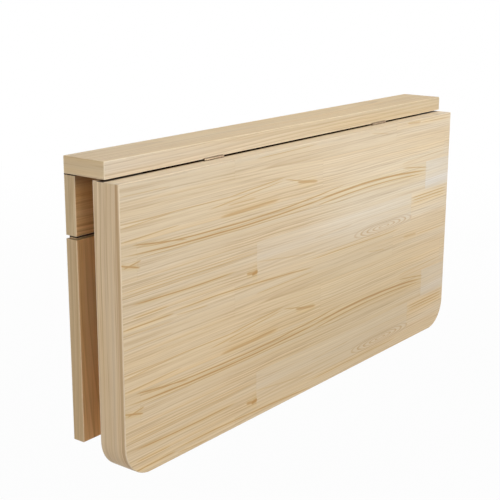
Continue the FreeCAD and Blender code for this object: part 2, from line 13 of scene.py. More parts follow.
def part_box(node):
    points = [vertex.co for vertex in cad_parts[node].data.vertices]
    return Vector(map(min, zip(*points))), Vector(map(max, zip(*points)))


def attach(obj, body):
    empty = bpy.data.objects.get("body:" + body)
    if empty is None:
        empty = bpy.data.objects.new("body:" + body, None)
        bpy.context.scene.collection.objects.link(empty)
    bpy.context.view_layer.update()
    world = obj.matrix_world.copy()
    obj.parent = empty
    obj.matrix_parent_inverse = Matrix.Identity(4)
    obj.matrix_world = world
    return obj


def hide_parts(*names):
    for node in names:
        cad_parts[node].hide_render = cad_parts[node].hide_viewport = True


log = logging.getLogger("drop_leaf_table")

MM = 0.001
TINY = 1e-6
WELD = 1e-7

Pair = tuple[float, float]
Triple = tuple[float, float, float]
Colour = tuple[float, float, float, float]
Mesh = bmesh.types.BMesh
Piece = bpy.types.Object
Material = bpy.types.Material
Node = bpy.types.Node
Socket = bpy.types.NodeSocket
Sockets = dict[str, Socket]
Feed = Socket | float | Triple | Colour


def paint(red: int, green: int, blue: int) -> Colour:
    """Turn a colour of 0 to 255 as the eye reads it into the linear light that shaders use.

    Args:
        red: Red part, 0 to 255.
        green: Green part, 0 to 255.
        blue: Blue part, 0 to 255.

    Returns:
        The linear colour with full alpha.
    """
    parts = []
    for part in (red, green, blue):
        share = part / 255
        parts.append(share / 12.92 if share <= 0.04045 else ((share + 0.055) / 1.055) ** 2.4)
    return (parts[0], parts[1], parts[2], 1.0)


class Body(Enum):
    """The moving bodies of the table that new pieces ride on."""

    WALL_FRAME = "wall_frame"
    LEAF = "leaf"
    LEFT_LOWER_STAY = "left_lower_stay"
    LEFT_UPPER_STAY = "left_upper_stay"
    RIGHT_LOWER_STAY = "right_lower_stay"
    RIGHT_UPPER_STAY = "right_upper_stay"


class Slot(Enum):
    """The record's material slots."""

    RIVET = "rivet_steel"
    SCREW = "screw_steel"


class Side(Enum):
    """The table's two ends, with their sign along X."""

    LEFT = -1
    RIGHT = 1

    @property
    def word(self) -> str:
        """The word that node names start with."""
        return self.name.lower()


class GrainRun(Enum):
    """How a board's grain lies, as the turn that lays it along X with its wide face to the front."""

    LENGTHWISE = (0.0, 0.0, 0.0)
    FLAT = (math.pi / 2, 0.0, 0.0)
    UPRIGHT = (0.0, math.pi / 2, 0.0)
    UPRIGHT_EDGE = (math.pi / 2, 0.0, math.pi / 2)
    ACROSS = (0.0, 0.0, -math.pi / 2)


class SocketKind(Enum):
    """The kinds of socket that a shared effect takes and gives."""

    NUMBER = "NodeSocketFloat"
    POINT = "NodeSocketVector"
    COLOUR = "NodeSocketColor"


NUMBER, POINT, COLOUR = SocketKind


class NodeSheet:
    """A node tree with short ways to place and join its nodes."""

    def __init__(self, tree: bpy.types.NodeTree) -> None:
        """Keep the tree that nodes are placed in."""
        self.tree = tree

    def node(self, kind: str, **settings: object) -> Node:
        """Place one node.

        Args:
            kind: Blender's name of the node type.
            **settings: Properties to set on the node.

        Returns:
            The new node.
        """
        placed = self.tree.nodes.new(kind)
        for name, value in settings.items():
            setattr(placed, name, value)
        return placed

    def feed(self, socket: Socket, value: Feed) -> None:
        """Join a socket to a source, or set its own value.

        Args:
            socket: The input to feed.
            value: A socket to join, or a plain value.
        """
        if isinstance(value, Socket):
            self.tree.links.new(value, socket)
        else:
            socket.default_value = value

    def fill(self, step: Node, *values: Feed) -> Socket:
        """Feed a node's inputs in turn.

        Args:
            step: The node.
            *values: What its first inputs get.

        Returns:
            The node's first output.
        """
        for socket, value in zip(step.inputs, values):
            self.feed(socket, value)
        return step.outputs[0]

    def math(self, operation: str, *values: Feed) -> Socket:
        """Work a Math operation out."""
        return self.fill(self.node("ShaderNodeMath", operation=operation), *values)

    def vector(self, operation: str, *values: Feed) -> Socket:
        """Work a Vector Math operation out."""
        return self.fill(self.node("ShaderNodeVectorMath", operation=operation), *values)

    def times(self, value: Feed, other: Feed) -> Socket:
        """Multiply two values."""
        return self.math("MULTIPLY", value, other)

    def line(self, value: Feed, slope: Feed, level: Feed) -> Socket:
        """Put a value on a straight line: the value times its slope, plus the level."""
        return self.math("MULTIPLY_ADD", value, slope, level)

    def away(self, first: Feed, second: Feed) -> Socket:
        """Work out how far two offsets at right angles reach together."""
        return self.math("SQRT", self.line(first, first, self.times(second, second)))

    def parts(self, point: Feed) -> tuple[Socket, Socket, Socket]:
        """Split a vector or colour into its three numbers.

        Args:
            point: The vector's socket.

        Returns:
            The sockets of X, Y and Z.
        """
        step = self.node("ShaderNodeSeparateXYZ")
        self.fill(step, point)
        return step.outputs[0], step.outputs[1], step.outputs[2]

    def point(self, x: Feed, y: Feed, z: Feed) -> Socket:
        """Join three numbers into a vector."""
        return self.fill(self.node("ShaderNodeCombineXYZ"), x, y, z)

    def rise(self, value: Feed, start: Feed, end: Feed, low: Feed = 0.0, high: Feed = 1.0) -> Socket:
        """Map a value smoothly from one range to another.

        Args:
            value: The value to map.
            start: Where the rise starts.
            end: Where it ends.
            low: The result before the start.
            high: The result after the end.

        Returns:
            The result's socket.
        """
        step = self.node("ShaderNodeMapRange", interpolation_type="SMOOTHSTEP")
        return self.fill(step, value, start, end, low, high)

    def fall(self, value: Feed, start: Feed, end: Feed) -> Socket:
        """Map a value smoothly from 1 before the start to 0 after the end."""
        return self.rise(value, start, end, 1.0, 0.0)

    def mix(self, share: Feed, low: Feed, high: Feed, blend: str = "MIX") -> Socket:
        """Mix two colours.

        Args:
            share: Share of the second colour.
            low: First colour.
            high: Second colour.
            blend: Blender's name of the blend.

        Returns:
            The mixed colour's socket.
        """
        step = self.node("ShaderNodeMix", data_type="RGBA", blend_type=blend)
        for index, value in ((0, share), (6, low), (7, high)):
            self.feed(step.inputs[index], value)
        return step.outputs[2]

    def tint(self, colour: Feed, tint: Feed) -> Socket:
        """Multiply a colour with a tint."""
        return self.mix(1.0, colour, tint, "MULTIPLY")

    def dice(self, point: Feed) -> Node:
        """Place a white noise: the same random numbers for the same point.

        Args:
            point: Where it is read.

        Returns:
            The noise node, with Value and Color outputs.
        """
        step = self.node("ShaderNodeTexWhiteNoise", noise_dimensions="3D")
        self.feed(step.inputs["Vector"], point)
        return step

    def steps(self, value: Feed, stops: list[Triple]) -> Socket:
        """Look three numbers up in a row of equal steps.

        Args:
            value: Number of the step, from 0.
            stops: Three numbers for each step.

        Returns:
            The socket of the three numbers, as a colour.
        """
        ramp = self.node("ShaderNodeValToRGB")
        ramp.color_ramp.interpolation = "CONSTANT"
        elements = ramp.color_ramp.elements
        while len(elements) < len(stops):
            elements.new(1.0)
        for index, stop in enumerate(stops):
            elements[index].position = index / len(stops)
            elements[index].color = (*stop, 1.0)
        return self.fill(ramp, self.line(value, 1 / len(stops), 0.5 / len(stops)))

    def seen(self) -> Socket:
        """Tell the rays that show the background: straight ones, in a gloss or through something clear.

        Returns:
            A number that is 1 for those rays.
        """
        path = self.node("ShaderNodeLightPath")
        straight = self.math("MAXIMUM", path.outputs["Is Camera Ray"], path.outputs["Is Glossy Ray"])
        return self.math("MAXIMUM", straight, path.outputs["Is Transmission Ray"])

    def blend(self, share: Feed, low: Socket, high: Socket) -> Socket:
        """Mix two shaders."""
        return self.fill(self.node("ShaderNodeMixShader"), share, low, high)

    def show(self, shader: Socket, output: str = "ShaderNodeOutputMaterial") -> None:
        """Lead a shader to the tree's output."""
        self.feed(self.node(output).inputs["Surface"], shader)


def fresh_tree(owner: Material | bpy.types.World) -> bpy.types.NodeTree:
    """Switch a material's or a world's nodes on and clear them.

    Args:
        owner: The material or the world.

    Returns:
        Its empty tree.
    """
    owner.use_nodes = True
    owner.node_tree.nodes.clear()
    return owner.node_tree


class Surface(NodeSheet):
    """A new material's tree, with its shader and the object coordinate, whole and in three parts."""

    def __init__(self, name: str) -> None:
        """Start the material.

        Args:
            name: The material's name.
        """
        self.material = bpy.data.materials.new(name)
        super().__init__(fresh_tree(self.material))
        self.shader = self.node("ShaderNodeBsdfPrincipled")
        self.show(self.shader.outputs["BSDF"])
        self.where = self.node("ShaderNodeTexCoord").outputs["Object"]
        self.along, self.depth, self.up = self.parts(self.where)

    def close(self, colour: Feed, roughness: Feed, height: Feed, bump: Pair) -> Material:
        """Feed the shader.

        Args:
            colour: Base colour.
            roughness: Roughness.
            height: Height of the surface's relief.
            bump: Strength of the relief, and its depth in metres.

        Returns:
            The finished material.
        """
        relief = self.node("ShaderNodeBump")
        for name, value in (("Strength", bump[0]), ("Distance", bump[1]), ("Height", height)):
            self.feed(relief.inputs[name], value)
        normal = relief.outputs["Normal"]
        for name, value in (("Base Color", colour), ("Roughness", roughness), ("Normal", normal)):
            self.feed(self.shader.inputs[name], value)
        return self.material


@dataclass(frozen=True)
class Layer:
    """A layer of noise in a finish.

    Attributes:
        waves: Waves per metre along X, Y and Z.
        detail: Number of finer layers in it.
        rough: Weight of those.
        span: Values between which it comes in, if it is a mask.
        level: The mask before and after that.
    """

    waves: Triple
    detail: float = 1.0
    rough: float = 0.5
    span: Pair | None = None
    level: Pair = (0.0, 1.0)

    def noise(self, sheet: NodeSheet, point: Feed) -> Node:
        """Place the noise.

        Args:
            sheet: The tree that it goes into.
            point: Where it is read.

        Returns:
            The noise node, with Fac and Color outputs.
        """
        step = sheet.node("ShaderNodeTexNoise")
        sheet.feed(step.inputs["Vector"], sheet.vector("MULTIPLY", point, self.waves))
        for name, value in (("Scale", 1.0), ("Detail", self.detail), ("Roughness", self.rough)):
            step.inputs[name].default_value = value
        return step

    def draw(self, sheet: NodeSheet, point: Feed) -> Socket:
        """Draw the layer as one number, read at a point."""
        value = self.noise(sheet, point).outputs["Fac"]
        return sheet.rise(value, *self.span, *self.level) if self.span else value


class Effect:
    """A shared effect, kept as one node group that materials place with their own values."""

    title = ""
    takes: dict[str, SocketKind] = {}
    gives: dict[str, SocketKind] = {}

    def tree(self) -> bpy.types.NodeTree:
        """Build the group on its first use.

        Returns:
            The node group.
        """
        kept = bpy.data.node_groups.get(self.title)
        if kept:
            return kept
        group = bpy.data.node_groups.new(self.title, "ShaderNodeTree")
        for name, kind in self.takes.items():
            group.interface.new_socket(name=name, in_out="INPUT", socket_type=kind.value)
        for name, kind in self.gives.items():
            group.interface.new_socket(name=name, in_out="OUTPUT", socket_type=kind.value)
        sheet = NodeSheet(group)
        source = sheet.node("NodeGroupInput")
        target = sheet.node("NodeGroupOutput")
        results = self.draw(sheet, {name: source.outputs[name] for name in self.takes})
        for name, result in results.items():
            sheet.feed(target.inputs[name], result)
        return group

    def draw(self, sheet: NodeSheet, takes: Sockets) -> Sockets:
        """Place the group's nodes.

        Args:
            sheet: The group's own tree.
            takes: The group's inputs by name.

        Returns:
            The group's results by name.
        """
        raise NotImplementedError

    def place(self, sheet: NodeSheet, **values: Feed) -> Sockets:
        """Put the group into a material.

        Args:
            sheet: The material's tree.
            **values: Inputs by name, with underscores for spaces.

        Returns:
            The group node's outputs by name.
        """
        node = sheet.node("ShaderNodeGroup", node_tree=self.tree())
        for name, value in values.items():
            sheet.feed(node.inputs[name.replace("_", " ")], value)
        return {name: node.outputs[name] for name in self.gives}


class PineFigure(Effect):
    """Pine cut from a stem: growth rings round a wandering pith, fibres, dashes and broad tone.

    A pair of slope and level puts a layer on a straight line. Waves run along the grain, then across it.

    Attributes:
        bend_layer: Wandering of the pith.
        bend: How far it wanders, in metres.
        ripple_layer: Ripple of the lines.
        ripple: How far they ripple, in metres.
        uneven_layer: Uneven growth, in waves per year.
        uneven: How many years that shifts the lines.
        late_start: Where in a year's growth the dark line comes in.
        late_end: Where it stops.
        late_share: How strong it is.
        year_weight: Slope and level of a year's chance strength.
        fade_layer: Fading of the lines.
        spring_start: Where the pale growth after a line comes in.
        spring_end: Where that fades out.
        fibre_layer: The finest fibres.
        vein_layer: Dark veins.
        vein_share: Slope and level of their strength over that of the lines.
        pale_layer: Pale veins.
        pale_share: How strong they are beside the pale growth.
        dash_layer: Short dashes.
        dash_share: How strong they are.
        broad_layer: Broad light and dark.
        broad_tone: Slope and level of its tone.
        fibre_tone: Slope and level of the fibres' tone.
        pale_gain: What the pale wood adds to red, green and blue.
        warm_layer: Warm and cool tone.
        warm_green: Slope and level by which that turns green.
        warm_blue: The same for blue.
        fibre_rough: Slope and level of the roughness over the fibres.
        late_rough: What a dark line adds to it.
        relief: Heights of dark lines, fibres and dashes.
    """

    bend_layer: Layer = Layer((1.6, 7.0, 7.0), 1.5)
    bend: float = 22.0 * MM
    ripple_layer: Layer = Layer((7.0, 36.0, 36.0))
    ripple: float = 4.0 * MM
    uneven_layer: Layer = Layer((0.45, 1.0, 1.0))
    uneven: float = 2.2
    late_start: Pair = (0.6, 0.9)
    late_end: Pair = (0.92, 1.0)
    late_share: float = 0.75
    year_weight: Pair = (0.65, 0.25)
    fade_layer: Layer = Layer((2.0, 45.0, 45.0), span=(0.3, 0.65), level=(0.4, 1.0))
    spring_start: Pair = (0.0, 0.1)
    spring_end: Pair = (0.2, 0.5)
    fibre_layer: Layer = Layer((26.0, 1500.0, 1500.0), 2.0, 0.6)
    vein_layer: Layer = Layer((4.0, 420.0, 420.0), 2.0, 0.55, (0.5, 0.7))
    vein_share: Pair = (0.36, 0.06)
    pale_layer: Layer = Layer((4.0, 380.0, 380.0), span=(0.5, 0.72))
    pale_share: float = 0.35
    dash_layer: Layer = Layer((12.0, 560.0, 560.0), span=(0.6, 0.8))
    dash_share: float = 0.16
    broad_layer: Layer = Layer((2.0, 16.0, 16.0), 2.0)
    broad_tone: Pair = (0.1, 0.925)
    fibre_tone: Pair = (0.16, 0.92)
    pale_gain: Triple = (0.14, 0.18, 0.28)
    warm_layer: Layer = Layer((2.6, 75.0, 75.0))
    warm_green: Pair = (-0.14, 1.07)
    warm_blue: Pair = (-0.46, 1.22)
    fibre_rough: Pair = (0.14, 0.44)
    late_rough: float = -0.1
    relief: Triple = (0.6, 0.5, -0.4)
    title = "pine figure"
    takes = {
        "Vector": POINT, "Pith Across": NUMBER, "Pith Depth": NUMBER,
        "Drift": NUMBER, "Ring Pitch": NUMBER, "Strength": NUMBER,
        "Early Wood": COLOUR, "Late Wood": COLOUR,
    }
    gives = {"Color": COLOUR, "Roughness": NUMBER, "Height": NUMBER}

    def draw(self, sheet: NodeSheet, takes: Sockets) -> Sockets:
        """Draw the figure: X runs along the grain, Y into the board and Z across its face.

        Args:
            sheet: The group's own tree.
            takes: The group's inputs by name.

        Returns:
            Colour, roughness and height.
        """
        point = takes["Vector"]
        along, through, across = sheet.parts(point)
        bend = sheet.parts(self.bend_layer.noise(sheet, point).outputs["Color"])
        ripple = sheet.line(self.ripple_layer.draw(sheet, point), self.ripple, -self.ripple / 2)
        sway = sheet.math("ADD", sheet.line(bend[0], self.bend, -self.bend / 2), ripple)
        heave = sheet.line(bend[1], self.bend, -self.bend / 2)
        bent = sheet.point(along, sheet.math("ADD", through, ripple), sheet.math("ADD", across, ripple))
        side = sheet.math("ADD", sheet.math("SUBTRACT", across, takes["Pith Across"]), sway)
        deep = sheet.math("ADD", sheet.math("SUBTRACT", through, takes["Pith Depth"]), heave)
        deep = sheet.line(along, takes["Drift"], deep)
        years = sheet.math("DIVIDE", sheet.away(side, deep), takes["Ring Pitch"])
        years = sheet.line(self.uneven_layer.draw(sheet, sheet.point(years, 0.0, 0.0)), self.uneven, years)
        part = sheet.math("FRACT", years)
        late = sheet.times(sheet.rise(part, *self.late_start), sheet.fall(part, *self.late_end))
        year = sheet.dice(sheet.point(sheet.math("FLOOR", years), 3.0, 7.0)).outputs["Value"]
        weight = sheet.times(sheet.line(year, *self.year_weight), self.fade_layer.draw(sheet, point))
        late = sheet.times(late, weight)
        shown = sheet.times(late, sheet.times(takes["Strength"], self.late_share))
        spring = sheet.times(sheet.rise(part, *self.spring_start), sheet.fall(part, *self.spring_end))
        spring = sheet.times(spring, sheet.times(weight, takes["Strength"]))

        fibre = self.fibre_layer.draw(sheet, bent)
        vein = self.vein_layer.draw(sheet, bent)
        pale = sheet.line(self.pale_layer.draw(sheet, bent), self.pale_share, spring)
        dash = self.dash_layer.draw(sheet, bent)
        broad = self.broad_layer.draw(sheet, point)
        warm = self.warm_layer.draw(sheet, bent)

        colour = sheet.mix(shown, takes["Early Wood"], takes["Late Wood"])
        vein = sheet.times(vein, sheet.line(takes["Strength"], *self.vein_share))
        colour = sheet.mix(vein, colour, takes["Late Wood"])
        colour = sheet.mix(sheet.times(dash, self.dash_share), colour, takes["Late Wood"])
        tone = sheet.times(sheet.line(broad, *self.broad_tone), sheet.line(fibre, *self.fibre_tone))
        red, green, blue = (sheet.times(tone, sheet.line(pale, gain, 1.0)) for gain in self.pale_gain)
        green = sheet.times(green, sheet.line(warm, *self.warm_green))
        blue = sheet.times(blue, sheet.line(warm, *self.warm_blue))
        colour = sheet.tint(colour, sheet.point(red, green, blue))

        roughness = sheet.line(late, self.late_rough, sheet.line(fibre, *self.fibre_rough))
        line_height, fibre_height, dash_height = self.relief
        height = sheet.line(late, line_height, sheet.times(fibre, fibre_height))
        height = sheet.line(dash, dash_height, height)
        return {"Color": colour, "Roughness": roughness, "Height": height}


class BoardEdge(Effect):
    """Masks of a board's narrow faces, ends and wide faces, and a broken one along its eased edges.

    Attributes:
        rim_band: How far from the outline the mask of the narrow faces fades, in metres.
        flat_band: How far from a face or an end its mask fades, in metres.
        chip_layer: The breaks in the wear.
        wear_reach: Spread and least reach of the wear, in metres.
    """

    rim_band: Pair = (0.9 * MM, 1.3 * MM)
    flat_band: Pair = (0.4 * MM, 0.8 * MM)
    chip_layer: Layer = Layer((160.0, 160.0, 160.0), 2.0)
    wear_reach: Pair = (2.4 * MM, 0.5 * MM)
    title = "board edge"
    takes = {"Vector": POINT, "Centre": POINT, "Half Size": POINT,
             "Corner Radius": NUMBER}
    gives = {"Rim": NUMBER, "End": NUMBER, "Face": NUMBER,
             "Wear": NUMBER}

    def draw(self, sheet: NodeSheet, takes: Sockets) -> Sockets:
        """Draw the masks: Rim on the narrow faces, End on both ends, Face on front and back, Wear on edges.

        Args:
            sheet: The group's own tree.
            takes: The group's inputs by name.

        Returns:
            The four masks.
        """
        offset = sheet.vector("SUBTRACT", takes["Vector"], takes["Centre"])
        low = sheet.math("LESS_THAN", sheet.parts(offset)[2], 0.0)
        radius = sheet.times(takes["Corner Radius"], low)
        room = sheet.vector("SUBTRACT", takes["Half Size"], sheet.vector("ABSOLUTE", offset))
        end, face, edge = sheet.parts(room)
        over_x = sheet.math("SUBTRACT", radius, end)
        over_z = sheet.math("SUBTRACT", radius, edge)
        past_x = sheet.math("MAXIMUM", over_x, 0.0)
        past_z = sheet.math("MAXIMUM", over_z, 0.0)
        corner = sheet.away(past_x, past_z)
        inner = sheet.math("MINIMUM", sheet.math("MAXIMUM", over_x, over_z), 0.0)
        outline = sheet.math("SUBTRACT", radius, sheet.math("ADD", corner, inner))
        rim = sheet.fall(outline, *self.rim_band)
        far = sheet.math("MAXIMUM", outline, face)
        chip = self.chip_layer.draw(sheet, takes["Vector"])
        wear = sheet.fall(far, 0.0, sheet.line(chip, *self.wear_reach))
        return {"Rim": rim, "End": sheet.fall(end, *self.flat_band),
                "Face": sheet.fall(face, *self.flat_band), "Wear": wear}


class GluedStaves(Effect):
    """The glued staves of a wide board: rows of equal height with butt joints, over and over across it.

    Attributes:
        seam_width: How far a glue seam shows to each side, in metres.
    """

    seam_width: float = 0.5 * MM
    title = "glued staves"
    takes = {"Vector": POINT, "Stave Width": NUMBER, "First Seam": NUMBER}
    gives = {"Vector": POINT, "Repeat": NUMBER, "Look": COLOUR,
             "Chance": COLOUR, "Seam": NUMBER}

    def __init__(self, rows: list["StaveRow"], half_length: float) -> None:
        """Keep the rows from the lowest up, and the board's half length for the joints' places."""
        self.rows = rows
        self.half_length = half_length

    def draw(self, sheet: NodeSheet, takes: Sockets) -> Sockets:
        """Draw the layout: a place inside its own stave, and the stave's look.

        Args:
            sheet: The group's own tree.
            takes: The group's inputs by name.

        Returns:
            Local place, height in the repeat, look, chance numbers and seam mask.
        """
        along, through, across = sheet.parts(takes["Vector"])
        width = takes["Stave Width"]
        count = len(self.rows)
        up = sheet.math("SUBTRACT", across, takes["First Seam"])
        repeat = sheet.math("FLOORED_MODULO", up, sheet.times(width, float(count)))
        place = sheet.math("DIVIDE", repeat, width)
        row = sheet.math("FLOOR", place)
        inside = sheet.times(sheet.math("SUBTRACT", sheet.math("FRACT", place), 0.5), width)

        span = 2 * self.half_length
        stops = [tuple((joint + self.half_length) / span for joint in (*each.joints, 0.0))
                 for each in self.rows]
        joints = sheet.parts(sheet.steps(row, stops))
        share = sheet.line(along, 1 / span, 0.5)
        first = sheet.math("GREATER_THAN", share, joints[0])
        second = sheet.math("GREATER_THAN", share, joints[1])
        number = sheet.math("ADD", sheet.line(row, 3.0, first), second)
        look = sheet.steps(number, [stave.numbers for each in self.rows for stave in each.staves])
        chance = sheet.dice(sheet.point(number, 5.0, 2.0)).outputs["Color"]

        near = sheet.math("MINIMUM", sheet.math("ABSOLUTE", sheet.math("SUBTRACT", share, joints[0])),
                          sheet.math("ABSOLUTE", sheet.math("SUBTRACT", share, joints[1])))
        butt = sheet.times(near, span)
        glue = sheet.math("SUBTRACT", sheet.times(width, 0.5), sheet.math("ABSOLUTE", inside))
        seam = sheet.fall(sheet.math("MINIMUM", butt, glue), 0.0, self.seam_width)
        return {"Vector": sheet.point(along, through, inside), "Repeat": repeat, "Look": look,
                "Chance": chance, "Seam": seam}


class AmberStreak(Effect):
    """A resin streak along the grain: long, thin, gently sloped or bowed, and faded at its ends.

    Attributes:
        body: How fast the streak fades to its sides, and the share that is solid.
        halo: How fast the yellowed wood beside it fades.
        blunt: How blunt its ends are.
    """

    body: Pair = (1.7, 0.03)
    halo: float = 0.1
    blunt: float = 6.0
    title = "amber streak"
    takes = {
        "Along": NUMBER, "Across": NUMBER, "Middle": NUMBER,
        "Level": NUMBER, "Half Length": NUMBER, "Half Width": NUMBER,
        "Slope": NUMBER, "Bow": NUMBER, "Strength": NUMBER,
    }
    gives = {"Mask": NUMBER, "Glow": NUMBER}

    def draw(self, sheet: NodeSheet, takes: Sockets) -> Sockets:
        """Draw the streak's mask and a wider one of the wood that its resin has yellowed.

        Args:
            sheet: The group's own tree.
            takes: The group's inputs by name.

        Returns:
            Both masks.
        """
        run = sheet.math("SUBTRACT", takes["Along"], takes["Middle"])
        level = sheet.line(run, takes["Slope"], takes["Level"])
        level = sheet.line(sheet.times(run, run), takes["Bow"], level)
        off = sheet.math("DIVIDE", sheet.math("ABSOLUTE", sheet.math("SUBTRACT", takes["Across"], level)),
                         takes["Half Width"])
        out = sheet.math("DIVIDE", sheet.math("ABSOLUTE", run), takes["Half Length"])
        square = sheet.times(off, off)
        tip = sheet.math("POWER", out, self.blunt)
        body = sheet.fall(sheet.line(square, self.body[0], tip), self.body[1], 1.0)
        halo = sheet.fall(sheet.line(square, self.halo, tip), 0.0, 1.0)
        return {"Mask": sheet.times(body, takes["Strength"]),
                "Glow": sheet.times(halo, takes["Strength"])}


class FlameArcs(Effect):
    """Nested arcs where a growth ring comes to the surface, drawn out along the grain.

    Attributes:
        line_start: Where in each ring its dark line comes in.
        line_end: Where the line stops.
        fade_out: Shares of the reach between which the arcs fade.
    """

    line_start: Pair = (0.45, 0.85)
    line_end: Pair = (0.86, 1.0)
    fade_out: Pair = (0.7, 1.0)
    title = "flame arcs"
    takes = {
        "Along": NUMBER, "Across": NUMBER, "Middle": NUMBER,
        "Level": NUMBER, "Pitch": NUMBER, "Lean": NUMBER,
        "Reach": NUMBER,
    }
    gives = {"Mask": NUMBER}

    def draw(self, sheet: NodeSheet, takes: Sockets) -> Sockets:
        """Draw the arcs' mask.

        Args:
            sheet: The group's own tree.
            takes: The group's inputs by name.

        Returns:
            The mask.
        """
        run = sheet.times(sheet.math("SUBTRACT", takes["Along"], takes["Middle"]), takes["Lean"])
        off = sheet.math("SUBTRACT", takes["Across"], takes["Level"])
        reach = sheet.away(run, off)
        part = sheet.math("FRACT", sheet.math("DIVIDE", reach, takes["Pitch"]))
        line = sheet.times(sheet.rise(part, *self.line_start), sheet.fall(part, *self.line_end))
        share = sheet.math("DIVIDE", reach, takes["Reach"])
        return {"Mask": sheet.times(line, sheet.fall(share, *self.fade_out))}


class PlatedSteel(Effect):
    """Zinc plated sheet: drawn lines, cloudy plating and a few dull specks.

    Attributes:
        cloud_layer: The dull clouds.
        line_layer: The drawn lines.
        speck_layer: The specks.
        speck_share: How dull the specks are.
        line_rough: Slope and level of the roughness over the lines.
        dull_rough: What a dull place adds to it.
        speck_sink: How far the specks sink in the relief.
    """

    cloud_layer: Layer = Layer((120.0, 120.0, 120.0), 3.0, span=(0.35, 0.75), level=(0.0, 0.6))
    line_layer: Layer = Layer((2600.0, 2600.0, 90.0), 2.0)
    speck_layer: Layer = Layer((900.0, 900.0, 900.0), span=(0.68, 0.8))
    speck_share: float = 0.5
    line_rough: Pair = (0.16, 0.24)
    dull_rough: float = 0.14
    speck_sink: float = -0.6
    title = "plated steel"
    takes = {"Vector": POINT, "Bright": COLOUR, "Dull": COLOUR}
    gives = {"Color": COLOUR, "Roughness": NUMBER, "Height": NUMBER}

    def draw(self, sheet: NodeSheet, takes: Sockets) -> Sockets:
        """Draw the plating.

        Args:
            sheet: The group's own tree.
            takes: The group's inputs by name.

        Returns:
            Colour, roughness and height.
        """
        point = takes["Vector"]
        lines = self.line_layer.draw(sheet, point)
        speck = self.speck_layer.draw(sheet, point)
        dull = sheet.math("ADD", self.cloud_layer.draw(sheet, point), sheet.times(speck, self.speck_share))
        roughness = sheet.line(dull, self.dull_rough, sheet.line(lines, *self.line_rough))
        height = sheet.line(speck, self.speck_sink, lines)
        colour = sheet.mix(dull, takes["Bright"], takes["Dull"])
        return {"Color": colour, "Roughness": roughness, "Height": height}


@dataclass(frozen=True)
class Stave:
    """One stave's look.

    Attributes:
        tone: Lightness, 0.5 for the board's own.
        lines: Strength of its growth lines.
        drift: Slant of its stem along the board, 0.5 for none.
    """

    tone: float = 0.5
    lines: float = 0.5
    drift: float = 0.5

    @property
    def numbers(self) -> Triple:
        """The look as three numbers."""
        return (self.tone, self.lines, self.drift)


@dataclass(frozen=True)
class Streak:
    """A resin streak, in millimetres.

    Attributes:
        middle: Its middle along X.
        level: Its height over the seam under its stave.
        half_length: Half its length.
        half_width: Half its width.
        slope: Its rise along X.
        bow: Its curve, as rise over the square of the way along X.
        strength: How strong it is, 0 to 1.
    """

    middle: float
    level: float
    half_length: float
    half_width: float
    slope: float = 0.0
    bow: float = 0.0
    strength: float = 0.6

    def draw(self, sheet: Surface, level: Feed, seam: float) -> Sockets:
        """Draw the streak.

        Args:
            sheet: The material's tree.
            level: Height of the place, with the grain's ripple.
            seam: Height of the seam under its stave, in metres.

        Returns:
            The masks of the streak and of the yellowed wood round it.
        """
        return AmberStreak().place(
            sheet, Along=sheet.along, Across=level, Middle=self.middle * MM, Level=seam + self.level * MM,
            Half_Length=self.half_length * MM, Half_Width=self.half_width * MM, Slope=self.slope,
            Bow=self.bow / MM, Strength=self.strength)


@dataclass(frozen=True)
class StaveRow:
    """A row of three staves.

    Attributes:
        joints: Places of its two butt joints along X, in metres.
        staves: The staves' looks, from the left.
        streaks: Its resin streaks.
    """

    joints: Pair
    staves: tuple[Stave, Stave, Stave]
    streaks: tuple[Streak, ...]


@dataclass(frozen=True)
class PineFinish:
    """Planed pine under a thin matt lacquer.

    Attributes:
        early: Colour of the growth of spring.
        late: Colour of the growth lines.
        amber: Colour of the resin streaks.
        resin: Tint of the wood that resin has yellowed.
        worn_and_highlight: Colour of the eased edges, partly rubbed wear and partly a painted highlight.
        shadow: Colour of the painted shade in narrow gaps and under the shelf.
        shine: Strength of the lacquer's shine.
        ring_pitch: Distance between growth lines, in metres.
        wear: How strong the eased edges show, with their wear and painted highlight.
        bump: Strength of the grain's relief, and its depth in metres.
    """

    early: Colour = paint(224, 200, 162)
    late: Colour = paint(172, 132, 78)
    amber: Colour = paint(186, 136, 58)
    resin: Colour = (1.0, 0.975, 0.87, 1.0)
    worn_and_highlight: Colour = paint(244, 230, 204)
    shadow: Colour = paint(44, 22, 8)
    shine: float = 0.75
    ring_pitch: float = 4.6 * MM
    wear: float = 0.6
    bump: Pair = (0.35, 0.15 * MM)

    def start(self, name: str) -> Surface:
        """Start a wood material.

        Args:
            name: The material's name.

        Returns:
            The material's tree.
        """
        sheet = Surface(name)
        sheet.shader.inputs["Specular IOR Level"].default_value = self.shine
        return sheet

    def figure(self, sheet: Surface, point: Feed, pith: tuple[Feed, Feed], drift: Feed,
               lines: Feed) -> Sockets:
        """Place the pine figure in this finish's colours.

        Args:
            sheet: The material's tree.
            point: The place in the wood: along the grain, into the board and across it.
            pith: Place of the stem's pith across and into the board.
            drift: Slant of the stem along the board.
            lines: Strength of the growth lines.

        Returns:
            The figure's colour, roughness and height.
        """
        return PineFigure().place(
            sheet, Vector=point, Pith_Across=pith[0], Pith_Depth=pith[1], Drift=drift,
            Ring_Pitch=self.ring_pitch, Strength=lines, Early_Wood=self.early, Late_Wood=self.late)


@dataclass(frozen=True)
class SteelFinish:
    """Zinc plated steel in one shade.

    Attributes:
        name: The material's name.
        bright: Colour of the clean plating.
        dull: Colour of its clouds and specks.
        bump: Strength of the drawn lines' relief, and its depth in metres.
    """

    name: str
    bright: Colour
    dull: Colour
    bump: Pair = (0.12, 0.05 * MM)

    def material(self) -> Material:
        """Build the plating's material.

        Returns:
            The material.
        """
        sheet = Surface(self.name)
        sheet.shader.inputs["Metallic"].default_value = 1.0
        plating = PlatedSteel().place(sheet, Vector=sheet.where, Bright=self.bright, Dull=self.dull)
        return sheet.close(plating["Color"], plating["Roughness"], plating["Height"], self.bump)


